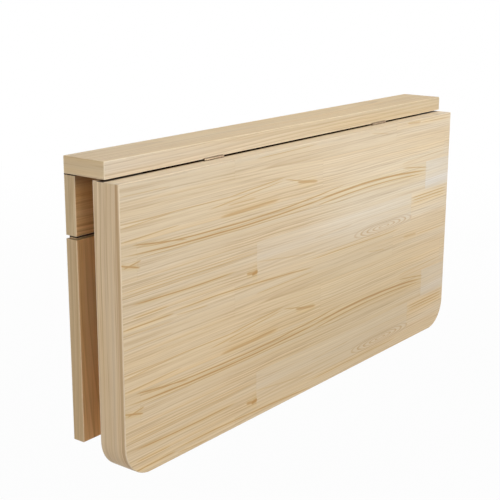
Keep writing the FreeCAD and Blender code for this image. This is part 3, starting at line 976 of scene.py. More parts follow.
def dress_node(name: str, material: Material) -> None:
    """Give a CAD node its finish.

    Args:
        name: The node's name.
        material: The finish.
    """
    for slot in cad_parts[name].material_slots:
        slot.material = material
    log.info("dressed %s in %s", name, material.name)


def middle_and_half(name: str) -> tuple[Triple, Triple]:
    """A node's middle and half size.

    Args:
        name: The node's name.

    Returns:
        The middle and the half size, in metres.
    """
    low, high = (Vector(corner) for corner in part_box(name))
    return tuple((low + high) / 2), tuple((high - low) / 2)


def new_piece(name: str, mesh: Mesh, material: Material) -> Piece:
    """Make an object of a finished mesh, with its place in the mesh.

    Args:
        name: The piece's name.
        mesh: The finished mesh, which is freed.
        material: Its finish.

    Returns:
        The new object.
    """
    bmesh.ops.remove_doubles(mesh, verts=mesh.verts, dist=WELD)
    bmesh.ops.recalc_face_normals(mesh, faces=mesh.faces)
    data = bpy.data.meshes.new(name)
    mesh.to_mesh(data)
    mesh.free()
    data.materials.append(material)
    piece = bpy.data.objects.new(name, data)
    bpy.context.scene.collection.objects.link(piece)
    log.info("built %s", name)
    return piece


def spun(profile: list[Pair], steps: int) -> Mesh:
    """Spin a profile once round Z.

    Args:
        profile: Radius and height of each corner, from the axis back to the axis.
        steps: Number of steps round.

    Returns:
        The spun mesh.
    """
    mesh = bmesh.new()
    verts = [mesh.verts.new((radius, 0.0, height)) for radius, height in profile]
    edges = [mesh.edges.new(pair) for pair in zip(verts, verts[1:])]
    bmesh.ops.spin(mesh, geom=verts + edges, cent=(0, 0, 0), axis=(0, 0, 1), angle=2 * math.pi, steps=steps,
                   use_merge=True, use_normal_flip=False, use_duplicate=False)
    bmesh.ops.remove_doubles(mesh, verts=mesh.verts, dist=WELD)
    bmesh.ops.recalc_face_normals(mesh, faces=mesh.faces)
    return mesh


def add_copy(target: Mesh, source: Mesh, place: Matrix) -> None:
    """Add a placed copy of a mesh to another.

    Args:
        target: The mesh that grows.
        source: The mesh to copy.
        place: Turn and place of the copy.
    """
    scratch = bpy.data.meshes.new("scratch")
    source.to_mesh(scratch)
    scratch.transform(place)
    target.from_mesh(scratch)
    bpy.data.meshes.remove(scratch)


@dataclass(frozen=True)
class GapShade:
    """The painted shade on the leaf's top, in the narrow gap under the shelf.

    Attributes:
        start: Where it comes in behind the shelf's front, as Y in metres.
        end: Where it fades out towards the wall, as Y in metres.
    """

    start: Pair = (-0.0757, -0.0730)
    end: Pair = (-0.0630, -0.0600)

    def mask(self, sheet: Surface) -> Socket:
        """Draw where the painted shade lies, as a number that is 1 in it."""
        return sheet.times(sheet.rise(sheet.depth, *self.start), sheet.fall(sheet.depth, *self.end))


@dataclass
class Lipping:
    """The thin strip of pine that covers the leaf's narrow faces all round.

    Attributes:
        nodes: The nodes that it goes round together.
        corner_radius: Their round lower corners, in metres.
        pith: Place of the stem's pith across and into the strip, in metres.
        drift: Slant of the stem along the strip.
        lines: Strength of its growth lines.
        ring_pitch: Distance between its growth lines, in metres.
        heart: Front and back of a dark strip of heartwood, as Y in metres.
        heart_soft: How far it fades at front and back, in metres.
        heart_share: How strong it is.
        tint: Colour that it is deepened with.
        underside_shade: Colour that its lowest part is deepened with, a painted shade on the underside of
            the rim.
        underside_shade_height: How far up from the bottom that painted shade reaches, in metres.
        lit_top_band: How far under the top the painted light on its top face and eased upper edge starts
            and is full, in metres.
        gap: The painted shade on its top under the shelf.
    """

    nodes: tuple[str, ...] = ("leaf_board", "leaf_left_batten", "leaf_right_batten")
    corner_radius: float = 0.050
    pith: Pair = (0.03, 0.09)
    drift: float = 0.004
    lines: float = 0.85
    ring_pitch: float = 7.0 * MM
    heart: Pair = (-0.1000, -0.0935)
    heart_soft: Pair = (1.2 * MM, 2.0 * MM)
    heart_share: float = 0.55
    tint: Colour = (0.985, 0.95, 0.94, 1.0)
    underside_shade: Colour = (0.82, 0.73, 0.56, 1.0)
    underside_shade_height: float = 0.055
    lit_top_band: Pair = (0.8 * MM, 0.3 * MM)
    gap: GapShade = GapShade()

    def cover(self, sheet: Surface, finish: PineFinish, colour: Feed) -> Socket:
        """Lay the strip, the eased edges, painted light on the top and painted shade at the bottom and in
        the gap over a material's colour.

        Args:
            sheet: The material's tree.
            finish: The pine finish.
            colour: The colour of the wide faces.

        Returns:
            The colour with strip and edges.
        """
        corners = [Vector(corner) for node in self.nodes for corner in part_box(node)]
        low = Vector([min(corner[axis] for corner in corners) for axis in range(3)])
        high = Vector([max(corner[axis] for corner in corners) for axis in range(3)])
        edge = BoardEdge().place(sheet, Vector=sheet.where, Centre=tuple((low + high) / 2),
                                 Half_Size=tuple((high - low) / 2), Corner_Radius=self.corner_radius)
        run = sheet.math("ADD", sheet.math("ABSOLUTE", sheet.along), sheet.up)
        point = sheet.point(run, 0.0, sheet.depth)
        wider = replace(finish, ring_pitch=self.ring_pitch)
        strip = wider.figure(sheet, point, self.pith, self.drift, self.lines)["Color"]
        front, back = self.heart
        heart = sheet.times(sheet.rise(sheet.depth, front, front + self.heart_soft[0]),
                            sheet.fall(sheet.depth, back - self.heart_soft[1], back))
        strip = sheet.mix(sheet.times(heart, self.heart_share), strip, finish.late)
        strip = sheet.tint(strip, self.tint)
        # Painted shade: the lowest part of the strip is darker.
        bottom = sheet.fall(sheet.up, low.z, low.z + self.underside_shade_height)
        strip = sheet.mix(bottom, strip, self.underside_shade, "MULTIPLY")
        colour = sheet.mix(edge["Rim"], colour, strip)
        # Painted light on the top face and its upper edge, and the eased edges' wear and painted highlight,
        # mixed towards the pale edge colour.
        top = sheet.rise(sheet.up, high.z - self.lit_top_band[0], high.z - self.lit_top_band[1])
        pale = sheet.times(sheet.math("MAXIMUM", edge["Wear"], top), finish.wear)
        colour = sheet.mix(pale, colour, finish.worn_and_highlight)
        # Painted shade on the top face under the shelf.
        return sheet.mix(sheet.times(top, self.gap.mask(sheet)), colour, finish.shadow)


@dataclass(frozen=True)
class Tone:
    """A tint over a board, which may drift along the table.

    Attributes:
        left: The tint at the table's left end.
        right: The tint at its right end, if it differs there.
        span: Where along the table the drift starts and ends, in metres.
    """

    left: Colour = (1.0, 1.0, 1.0, 1.0)
    right: Colour | None = None
    span: Pair = (-0.5, 0.25)

    def lay(self, sheet: Surface, colour: Feed) -> Socket:
        """Lay the tint over a colour.

        Args:
            sheet: The material's tree.
            colour: The colour under the tint.

        Returns:
            The tinted colour.
        """
        tint: Feed = self.left
        if self.right:
            tint = sheet.mix(sheet.rise(sheet.along, *self.span), self.left, self.right)
        return sheet.tint(colour, tint)


@dataclass
class Board:
    """A pine board of the frame and how it was cut.

    Attributes:
        node: The CAD node.
        run: How its grain lies.
        pith: Place of the stem's pith across and into the board, in metres.
        drift: Slant of the stem along the board.
        tint: Tint of the whole board.
        lines: Strength of the growth lines.
        end_run: How the grain of its lipped ends lies, if they are lipped.
        lipping: The strip round its outer narrow faces, if it has one.
        face_tint: Tint of its front: a painted shade on the rail and posts, a painted sheen on the shelf.
        end_tint: Tint of its ends.
        face_ends: Lightness of its front at the table's end and further in: painted shade at the end,
            painted light further in.
        painted_shade_above: Height from which it is painted with the shade of a narrow gap, if any, in
            metres.
        gap: Limits of that painted shade from front to back, if it has any.
        overhang: Heights between which its front fades into the shade of the shelf, if it does, in metres.
        overhang_dark: How dark that shade gets.
        end_pith: Place of the pith in its lipped ends, in metres.
        end_span: Where along the table that painted light and shade of its front turns, in metres from the
            middle.
        painted_shade_edge: How softly the painted shade of the gap starts, in metres.
    """

    node: str
    run: GrainRun
    pith: Pair
    drift: float = 0.01
    tint: Tone = Tone()
    lines: float = 0.7
    end_run: GrainRun | None = None
    lipping: Lipping | None = None
    face_tint: Tone = Tone()
    end_tint: Tone = Tone()
    face_ends: Pair | None = None
    painted_shade_above: float | None = None
    gap: GapShade | None = None
    overhang: Pair | None = None
    overhang_dark: float = 0.6
    end_pith: Pair = (0.035, 0.06)
    end_span: Pair = (0.417, 0.450)
    painted_shade_edge: float = 0.3 * MM

    def dress(self, finish: PineFinish) -> None:
        """Give the board its own cut of the finish.

        Args:
            finish: The pine finish.
        """
        sheet = finish.start(f"pine_{self.node}")
        figure = self.figure(sheet, finish, self.run, self.pith)
        colour, roughness = figure["Color"], figure["Roughness"]
        if self.lipping:
            colour = self.lipping.cover(sheet, finish, colour)
        else:
            colour = self.tint_faces(sheet, finish, colour)
        colour = self.tint.lay(sheet, colour)
        # Painted shade: above this height the board is mixed towards the shadow colour, as in a narrow gap.
        if self.painted_shade_above is not None:
            dark = sheet.rise(sheet.up, self.painted_shade_above, self.painted_shade_above + self.painted_shade_edge)
            if self.gap:
                dark = sheet.times(dark, self.gap.mask(sheet))
            colour = sheet.mix(dark, colour, finish.shadow)
            roughness = sheet.math("MAXIMUM", roughness, dark)
        dress_node(self.node, sheet.close(colour, roughness, figure["Height"], finish.bump))

    def tint_faces(self, sheet: Surface, finish: PineFinish, colour: Feed) -> Socket:
        """Give the ends, the front and the eased edges their own colours, with painted shade and sheen.

        Args:
            sheet: The material's tree.
            finish: The pine finish.
            colour: The wood's colour.

        Returns:
            The colour with ends, front and edges.
        """
        middle, half = middle_and_half(self.node)
        edge = BoardEdge().place(sheet, Vector=sheet.where, Centre=middle, Half_Size=half,
                                 Corner_Radius=0.0)
        if self.end_run:
            end = self.figure(sheet, finish, self.end_run, self.end_pith)
            colour = sheet.mix(edge["End"], colour, end["Color"])
        colour = sheet.mix(edge["End"], colour, self.end_tint.lay(sheet, colour))
        face = self.face_tint.lay(sheet, colour)
        # Painted shade and light: the front darkens towards the table's end and is lighter further in.
        if self.face_ends:
            outer, inner = self.face_ends
            light = sheet.rise(sheet.math("ABSOLUTE", sheet.along), *self.end_span, inner, outer)
            face = sheet.tint(face, sheet.point(light, light, light))
        if self.overhang:
            fade = sheet.rise(sheet.up, *self.overhang, 0.0, self.overhang_dark)
            face = sheet.mix(fade, face, finish.shadow)
        front = sheet.math("LESS_THAN", sheet.depth, middle[1])
        colour = sheet.mix(sheet.times(edge["Face"], front), colour, face)
        # Eased edges paler: partly wear, partly a painted highlight.
        return sheet.mix(sheet.times(edge["Wear"], finish.wear), colour, finish.worn_and_highlight)

    def figure(self, sheet: Surface, finish: PineFinish, run: GrainRun, pith: Pair) -> Sockets:
        """Place the pine figure, turned to the grain.

        Args:
            sheet: The material's tree.
            finish: The pine finish.
            run: How the grain lies.
            pith: Place of the pith.

        Returns:
            The figure's outputs.
        """
        turn = sheet.node("ShaderNodeMapping")
        turn.inputs["Rotation"].default_value = run.value
        point = sheet.fill(turn, sheet.where)
        return finish.figure(sheet, point, pith, self.drift, self.lines)


MELLOWER = Tone((1.06, 1.03, 0.97, 1.0), (1.1, 1.035, 0.885, 1.0))
# Painted sheen: the shelf's front paler and bluer at the left end, darker to the right.
PALER_SHEEN = Tone((0.86, 0.94, 1.16, 1.0), (0.78, 0.826, 0.91, 1.0))
COOLER = Tone((0.945, 0.97, 1.03, 1.0))
# Painted shade: rail and posts darker and warmer all over, for the shade near the wall.
DEEPER_SHADE = Tone((0.81, 0.76, 0.67, 1.0))
# Painted shade: the warm brown of the shaded fronts of rail and posts behind the leaf.
AMBER_SHADE = Tone((1.2, 0.94, 0.72, 1.0))
# Painted shade: the posts' ends darker and browner.
BROWNER_SHADE = Tone((0.94, 0.89, 0.83, 1.0))


@dataclass
class WallFrame:
    """The fixed shelf, the rail under it and the two posts, joined by dowels.

    Attributes:
        boards: The boards.
        dowels: The dowels between them.
    """

    # The rail and posts carry painted shade; the shelf's front carries a painted sheen.
    boards: tuple[Board, ...] = (
        Board("shelf", GrainRun.FLAT, (-0.02, -0.11), 0.012, MELLOWER, 0.7, GrainRun.ACROSS,
              face_tint=PALER_SHEEN, end_tint=COOLER),
        Board("wall_rail", GrainRun.LENGTHWISE, (0.03, 0.06), 0.02, DEEPER_SHADE, 0.9, GrainRun.UPRIGHT_EDGE,
              face_tint=AMBER_SHADE, face_ends=(0.86, 1.06), painted_shade_above=40.7 * MM,
              overhang=(16.0 * MM, 42.0 * MM)),
        Board("left_post", GrainRun.UPRIGHT, (0.39, 0.07), 0.03, DEEPER_SHADE, 0.6, face_tint=AMBER_SHADE,
              end_tint=BROWNER_SHADE, face_ends=(0.86, 1.14), painted_shade_above=-46.7 * MM),
        Board("right_post", GrainRun.UPRIGHT, (-0.43, 0.05), -0.02, DEEPER_SHADE, 0.6, face_tint=AMBER_SHADE,
              end_tint=BROWNER_SHADE, face_ends=(0.86, 1.14), painted_shade_above=-46.7 * MM),
    )
    dowels: tuple[Board, ...] = (
        Board("shelf_dowels", GrainRun.UPRIGHT, (0.0, 0.03), 0.0, lines=0.4),
        Board("post_dowels", GrainRun.UPRIGHT, (0.0, 0.03), 0.0, lines=0.4),
    )

    def dress(self, finish: PineFinish) -> None:
        """Give every board and dowel its cut of pine."""
        for board in self.boards + self.dowels:
            board.dress(finish)


@dataclass(frozen=True)
class Patch:
    """A broad patch of the leaf that is paler or deeper than the rest.

    Attributes:
        middle: Its middle, in shares of the board's half length and half height.
        reach: How far it reaches from there, in the same shares.
        gain: What it adds to red, green and blue, as a share of each.
    """

    middle: Pair
    reach: Pair
    gain: Triple

    def fade(self, sheet: NodeSheet, side: Feed, height: Feed) -> Socket:
        """Draw how strong the patch is.

        Args:
            sheet: The material's tree.
            side: Place along the board, in shares.
            height: Place up the board, in shares.

        Returns:
            A number that is 1 in its middle and 0 where it ends.
        """
        squares = []
        for place, middle, reach in zip((side, height), self.middle, self.reach):
            away = sheet.line(place, 1 / reach, -middle / reach)
            squares.append(sheet.times(away, away))
        return sheet.fall(sheet.math("ADD", *squares), 0.0, 1.0)


@dataclass(frozen=True)
class Flame:
    """The place and size of the flame arcs.

    Attributes:
        middle: Middle along X, and up from the first seam, in metres.
        pitch: Distance between the arcs, in metres.
        lean: How far they are drawn out along the grain.
        reach: How far they reach across the grain, in metres.
        strength: How strong they are.
    """

    middle: Pair = (0.217, 0.0608)
    pitch: float = 2.4 * MM
    lean: float = 0.12
    reach: float = 14.0 * MM
    strength: float = 0.6


@dataclass
class DropLeaf:
    """The leaf: a wide board of glued staves with battens behind it.

    Attributes:
        lipping: The strip round its narrow faces.
        stave_width: Height of a stave, in metres.
        first_seam: Height of one glue seam in the frame, in metres.
        rows: The staves of one repeat with their streaks, from the lowest row up.
        patches: The broad patches of its front: a painted sheen at upper right and a darker lower middle.
        flame: The flame arcs.
        battens: The boards behind it.
        rear_batten: The one along the hinges.
        bare_shine: Shine of that one, which is left without lacquer.
        pith_across: Spread and start of the chance by which a stave's pith lies across it.
        pith_depth: The same into the board.
        chance_tone: Spread and start of a stave's chance lightness.
        tone_green: How a stave's tone turns green: slope and level.
        tone_blue: How it turns blue.
        seam_dark: How dark the glue seams are.
        seam_sink: How far they sink in the relief.
        light_saddle: How much paler the front is at lower left and upper right, a painted light.
        sheen_ramp: Slope and level of red, green and blue from the bottom up, a painted sheen that makes
            the top paler and bluer.
        ripple_layer: Ripple of the streaks.
        ripple: How far they ripple, in metres.
        grain_layer: The grain that breaks them up.
    """

    lipping: Lipping = field(default_factory=Lipping)
    stave_width: float = 0.0525
    first_seam: float = 0.0093
    rows: list[StaveRow] = field(default_factory=lambda: [
        StaveRow((-0.210, 0.250), (Stave(0.48, 0.8, 0.5), Stave(0.5, 0.65, 0.49), Stave(0.49, 0.8, 0.51)), (
            Streak(-400, 40.4, 56, 1.6, 0.008, 0.0, 0.8),
            Streak(-172, 41.2, 180, 1.5, -0.036, -1.0e-4, 0.8),
            Streak(-308, 35.2, 38, 1.3, -0.044, 0.0, 0.5),
            Streak(-79, 24.4, 85, 1.3, 0.013, 0.0, 0.55),
            Streak(130, 45.6, 150, 1.4, -0.004, 0.0, 0.7),
            Streak(312, 25.0, 26, 2.6, -0.03, 0.0, 0.5),
            Streak(392, 22.3, 60, 1.2, -0.017, 0.0, 0.5),
            Streak(-400, 31.0, 60, 0.9, -0.02, 0.0, 0.45),
            Streak(-400, 12.5, 55, 1.0, 0.0, 0.0, 0.45),
            Streak(194, 20.0, 30, 1.0, -0.11, 0.0, 0.4),
        )),
        StaveRow((-0.156, 0.312), (Stave(0.5, 0.9, 0.5), Stave(0.74, 0.5, 0.51), Stave(0.54, 1.0, 0.5)), (
            Streak(-320, 17.5, 118, 1.8, -0.01, 1.4e-4, 0.9),
            Streak(-310, 40.5, 160, 1.0, 0.005, 0.0, 0.55),
            Streak(-300, 36.1, 165, 1.1, 0.004, 0.0, 0.65),
            Streak(-330, 32.1, 140, 0.9, 0.0, 0.0, 0.45),
            Streak(-394, 1.2, 38, 1.3, 0.0, 0.0, 0.6),
            Streak(-161, 5.6, 8, 5.4, 0.12, 0.0, 1.0),
            Streak(-169, 6.6, 13, 3.6, -0.1, 0.0, 0.75),
            Streak(-75, 12.5, 85, 1.3, -0.11, 0.0, 0.35),
            Streak(54, 29.8, 60, 1.1, 0.015, 0.0, 0.4),
            Streak(378, 43.5, 72, 1.6, 0.0, 0.0, 0.85),
            Streak(378, 38.1, 70, 1.7, 0.0, 0.0, 0.9),
            Streak(378, 32.5, 70, 1.4, 0.0, 0.0, 0.75),
        )),
        StaveRow((-0.419, 0.362), (Stave(0.45, 0.5, 0.5), Stave(0.5, 0.85, 0.5), Stave(1.0, 0.55, 0.51)), (
            Streak(-165, 39.0, 268, 1.6, 0.015, 1.45e-4, 0.95),
            Streak(-372, 43.6, 58, 1.6, -0.108, 0.0, 0.85),
            Streak(-200, 31.9, 255, 2.0, 0.004, 1.07e-4, 1.0),
            Streak(178, 44.2, 200, 2.9, -0.002, -2.43e-4, 1.0),
            Streak(-200, 28.4, 230, 1.1, 0.0, 0.3e-4, 0.6),
            Streak(176, 36.2, 194, 1.9, 0.006, -2.0e-4, 0.85),
            Streak(150, 27.5, 170, 0.9, 0.01, -1.0e-4, 0.45),
            Streak(322, 47.0, 48, 1.7, -0.12, -6.0e-4, 0.7),
            Streak(-434, 22.0, 22, 2.3, -0.27, 0.0, 0.8),
            Streak(-428, 23.6, 18, 1.7, 0.16, 0.0, 0.75),
        )),
        StaveRow((0.019, 0.430), (Stave(0.42, 0.75, 0.5), Stave(0.45, 0.75, 0.49), Stave(0.5, 0.8, 0.5)), (
            Streak(-330, 28.5, 140, 1.2, 0.0, 0.0, 0.6),
            Streak(-160, 32.5, 80, 1.3, 0.065, 0.0, 0.7),
            Streak(-180, 25.0, 95, 1.3, 0.083, 0.0, 0.65),
            Streak(-172, 3.0, 76, 4.4, 0.02, 0.0, 0.6),
            Streak(-192, 16.5, 36, 2.0, 0.0, 0.0, 0.4),
            Streak(-40, 25.0, 48, 1.5, -0.185, 0.0, 0.65),
            Streak(-24, 21.2, 30, 4.2, -0.12, 0.0, 0.7),
            Streak(-390, 5.8, 62, 1.2, 0.03, 0.0, 0.6),
            Streak(-388, 26.1, 65, 1.1, 0.047, 0.0, 0.55),
            Streak(354, 10.5, 85, 1.7, 0.037, 0.0, 0.4),
        )),
    ])
    patches: tuple[Patch, ...] = (
        # Painted sheen: paler and bluer at upper right.
        Patch((0.6, 0.42), (0.75, 0.42), (0.08, 0.14, 0.24)),
        # Darker below the middle, towards the right.
        Patch((0.25, -0.45), (0.8, 0.75), (-0.08, -0.085, -0.13)),
    )
    flame: Flame = Flame()
    battens: tuple[Board, ...] = (
        Board("leaf_left_batten", GrainRun.UPRIGHT, (0.47, -0.12), 0.01, lipping=Lipping()),
        Board("leaf_right_batten", GrainRun.UPRIGHT, (-0.36, -0.12), -0.012, lipping=Lipping()),
        Board("leaf_front_batten", GrainRun.LENGTHWISE, (-0.31, -0.12), 0.015, lipping=Lipping()),
        Board("leaf_cross_batten", GrainRun.UPRIGHT, (0.01, -0.1), 0.02),
    )
    # Painted shade on its top in the gap under the shelf.
    rear_batten: Board = field(default_factory=lambda: Board(
        "leaf_rear_batten", GrainRun.LENGTHWISE, (0.03, -0.13), -0.01,
        painted_shade_above=38.8 * MM, gap=GapShade()))
    bare_shine: float = 0.05
    pith_across: Pair = (0.3, -0.15)
    pith_depth: Pair = (0.06, -0.15)
    chance_tone: Pair = (0.06, 0.97)
    tone_green: Pair = (0.14, 0.93)
    tone_blue: Pair = (0.5, 0.75)
    seam_dark: float = 0.18
    seam_sink: float = -0.5
    light_saddle: float = 0.05
    sheen_ramp: tuple[Pair, Pair, Pair] = ((0.018, 0.993), (0.05, 0.99), (0.11, 0.993))
    ripple_layer: Layer = Layer((9.0, 9.0, 60.0), 2.0)
    ripple: float = 2.4 * MM
    grain_layer: Layer = Layer((14.0, 60.0, 600.0), 2.0, span=(0.2, 0.7), level=(0.75, 1.0))

    def dress(self, finish: PineFinish) -> None:
        """Give the board its staves and the battens their pine.

        Args:
            finish: The pine finish.
        """
        for batten in self.battens:
            batten.dress(finish)
        self.rear_batten.dress(replace(finish, shine=self.bare_shine))
        self.dress_board(finish)

    def dress_board(self, finish: PineFinish) -> None:
        """Draw the leaf's front: staves, streaks, painted light and shade, lipped rim and eased edges.

        Args:
            finish: The pine finish.
        """
        sheet = finish.start("pine_leaf_staves")
        half_length = middle_and_half("leaf_board")[1][0]
        staves = GluedStaves(self.rows, half_length).place(
            sheet, Vector=sheet.where, Stave_Width=self.stave_width, First_Seam=self.first_seam)
        tone, lines, slant = sheet.parts(staves["Look"])
        chance = sheet.parts(staves["Chance"])
        pith = (sheet.line(chance[0], *self.pith_across), sheet.line(chance[1], *self.pith_depth))
        drift = sheet.line(slant, 1.0, -0.5)
        figure = finish.figure(sheet, staves["Vector"], pith, drift, lines)
        colour = self.draw_streaks(sheet, finish, staves["Repeat"], figure["Color"])
        shade = sheet.line(chance[2], *self.chance_tone)
        green = sheet.times(shade, sheet.line(tone, *self.tone_green))
        blue = sheet.times(shade, sheet.line(tone, *self.tone_blue))
        colour = sheet.tint(colour, sheet.point(shade, green, blue))
        colour = sheet.mix(sheet.times(staves["Seam"], self.seam_dark), colour, finish.late)
        colour = sheet.tint(colour, self.painted_light(sheet))
        colour = self.lipping.cover(sheet, finish, colour)
        height = sheet.line(staves["Seam"], self.seam_sink, figure["Height"])
        dress_node("leaf_board", sheet.close(colour, figure["Roughness"], height, finish.bump))

    def painted_light(self, sheet: Surface) -> Socket:
        """Draw painted light and shade over the board: a painted sheen that leaves it yellower to the
        bottom, painted light at lower left and upper right, and the broad patches.

        Args:
            sheet: The material's tree.

        Returns:
            The colour that the board is multiplied with.
        """
        middle, half = middle_and_half("leaf_board")
        side = sheet.math("DIVIDE", sheet.along, half[0])
        height = sheet.math("DIVIDE", sheet.math("SUBTRACT", sheet.up, middle[2]), half[2])
        # Painted light: paler at lower left and upper right.
        pale = sheet.line(sheet.times(side, height), self.light_saddle, 1.0)
        # Painted sheen: paler and bluer towards the top.
        shares = [sheet.times(pale, sheet.line(height, *turn)) for turn in self.sheen_ramp]
        for patch in self.patches:
            fade = patch.fade(sheet, side, height)
            shares = [sheet.times(share, sheet.line(fade, gain, 1.0))
                      for share, gain in zip(shares, patch.gain)]
        return sheet.point(*shares)

    def draw_streaks(self, sheet: Surface, finish: PineFinish, repeat: Feed, colour: Feed) -> Socket:
        """Lay the resin streaks and the flame arcs over the staves.

        Args:
            sheet: The material's tree.
            finish: The pine finish.
            repeat: Height inside the repeat.
            colour: The staves' colour.

        Returns:
            The colour with streaks and arcs.
        """
        level = sheet.math("SUBTRACT", repeat, self.ripple / 2)
        level = sheet.line(self.ripple_layer.draw(sheet, sheet.where), self.ripple, level)
        total: Feed = 0.0
        glow: Feed = 0.0
        for number, row in enumerate(self.rows):
            for streak in row.streaks:
                masks = streak.draw(sheet, level, number * self.stave_width)
                total = sheet.math("MAXIMUM", total, masks["Mask"])
                glow = sheet.math("MAXIMUM", glow, masks["Glow"])
        total = sheet.times(total, self.grain_layer.draw(sheet, sheet.where))
        flame = self.flame
        arcs = FlameArcs().place(sheet, Along=sheet.along, Across=level,
                                 Middle=flame.middle[0], Level=flame.middle[1],
                                 Pitch=flame.pitch, Lean=flame.lean, Reach=flame.reach)
        total = sheet.math("MAXIMUM", total, sheet.times(arcs["Mask"], flame.strength))
        yellowed = sheet.tint(colour, finish.resin)
        return sheet.mix(total, sheet.mix(glow, colour, yellowed), finish.amber)


@dataclass
class PlatedPair:
    """Steel parts that both ends of the table have.

    Attributes:
        nodes: Their nodes without the side's word.
    """

    nodes: tuple[str, ...]

    def dress(self, finish: SteelFinish) -> None:
        """Plate the parts of both ends.

        Args:
            finish: Their plating.
        """
        material = finish.material()
        for side in Side:
            for node in self.nodes:
                dress_node(f"{side.word}_{node}", material)


@dataclass
class FoldingStays(PlatedPair):
    """The brackets and links of the two folding stays."""

    nodes: tuple[str, ...] = (
        "stay_wall_bracket", "stay_leaf_bracket", "stay_lower_link", "stay_upper_link")


@dataclass
class ButtHinges(PlatedPair):
    """The two butt hinges between shelf and leaf, and where their screws are.

    Attributes:
        screw_pitch: Distance between a hinge's two screws, in metres.
    """

    nodes: tuple[str, ...] = ("hinge_shelf_plate", "hinge_leaf_plate", "hinge_pin")
    screw_pitch: float = 28 * MM

    def screw_places(self, row: str, head_radius: float) -> Iterator[Vector]:
        """Yield the head middles of one row of hinge screws.

        Args:
            row: The row's node.
            head_radius: Radius of a head.

        Yields:
            The middle of each head's face.
        """
        low, high = (Vector(corner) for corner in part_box(row))
        outer = high.x - head_radius
        for side in Side:
            for step in (0.0, self.screw_pitch):
                yield Vector((side.value * (outer - step), (low.y + high.y) / 2, 0.0))


@dataclass
class DomedRivets:
    """The stays' pivots: a domed head, a shank and a flare hammered into the link.

    Attributes:
        head_radius: Radius of the head's foot.
        crown: Height of the head.
        shank_radius: Radius of the shank.
        flare_radius: Radius of the flared end.
        flare_height: Height of the flared end.
        rim: Height of the head's upright rim.
        dimple: Inner and outer radius of the dimple in the flared end.
        dimple_depth: Its depth.
        dome_steps: Number of steps from the rim to the top.
        round_steps: Number of steps round.
    """

    head_radius: float = 4.5 * MM
    crown: float = 1.5 * MM
    shank_radius: float = 2.5 * MM
    flare_radius: float = 3.6 * MM
    flare_height: float = 1.1 * MM
    rim: float = 0.25 * MM
    dimple: Pair = (1.1 * MM, 1.5 * MM)
    dimple_depth: float = 0.25 * MM
    dome_steps: int = 8
    round_steps: int = 40

    def one(self, length: float) -> Mesh:
        """Model one rivet along Z, its head up and its flared end at the origin.

        Args:
            length: Length over all.

        Returns:
            The rivet's mesh.
        """
        foot = length - self.crown
        inner, outer = self.dimple
        profile = [
            (0.0, self.dimple_depth), (inner, self.dimple_depth), (outer, 0.0), (self.flare_radius, 0.0),
            (self.shank_radius, self.flare_height), (self.shank_radius, foot), (self.head_radius, foot),
            (self.head_radius, foot + self.rim),
        ]
        for step in range(1, self.dome_steps):
            turn = step / self.dome_steps * math.pi / 2
            dome = (self.crown - self.rim) * math.sin(turn)
            profile.append((self.head_radius * math.cos(turn), foot + self.rim + dome))
        profile.append((0.0, length))
        return spun(profile, self.round_steps)

    def build(self, side: Side, node: str, body: Body, inward: bool, material: Material) -> None:
        """Build one rivet in place of its CAD node.

        Args:
            side: The end of the table.
            node: The node without its side.
            body: The body it rides on.
            inward: Whether its head points to the table's middle.
            material: Its finish.
        """
        name = f"{side.word}_{node}"
        low, high = (Vector(corner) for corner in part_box(name))
        head_right = (side is Side.LEFT) == inward
        turn = Matrix.Rotation(math.pi / 2 if head_right else -math.pi / 2, 4, "Y")
        middle = (low + high) / 2
        start = low.x if head_right else high.x
        whole = bmesh.new()
        rivet = self.one(high.x - low.x)
        add_copy(whole, rivet, Matrix.Translation((start, middle.y, middle.z)) @ turn)
        rivet.free()
        piece = new_piece(f"{name}_domed", whole, material)
        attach(piece, body.value)
        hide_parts(name)

    def build_all(self, material: Material) -> None:
        """Build the four rivets of both stays.

        Args:
            material: Their finish.
        """
        for side in Side:
            lower = Body[f"{side.name}_LOWER_STAY"]
            upper = Body[f"{side.name}_UPPER_STAY"]
            self.build(side, "stay_wall_rivet", Body.WALL_FRAME, True, material)
            self.build(side, "stay_leaf_rivet", Body.LEAF, False, material)
            self.build(side, "stay_lower_knee_rivet", lower, True, material)
            self.build(side, "stay_upper_knee_rivet", upper, False, material)


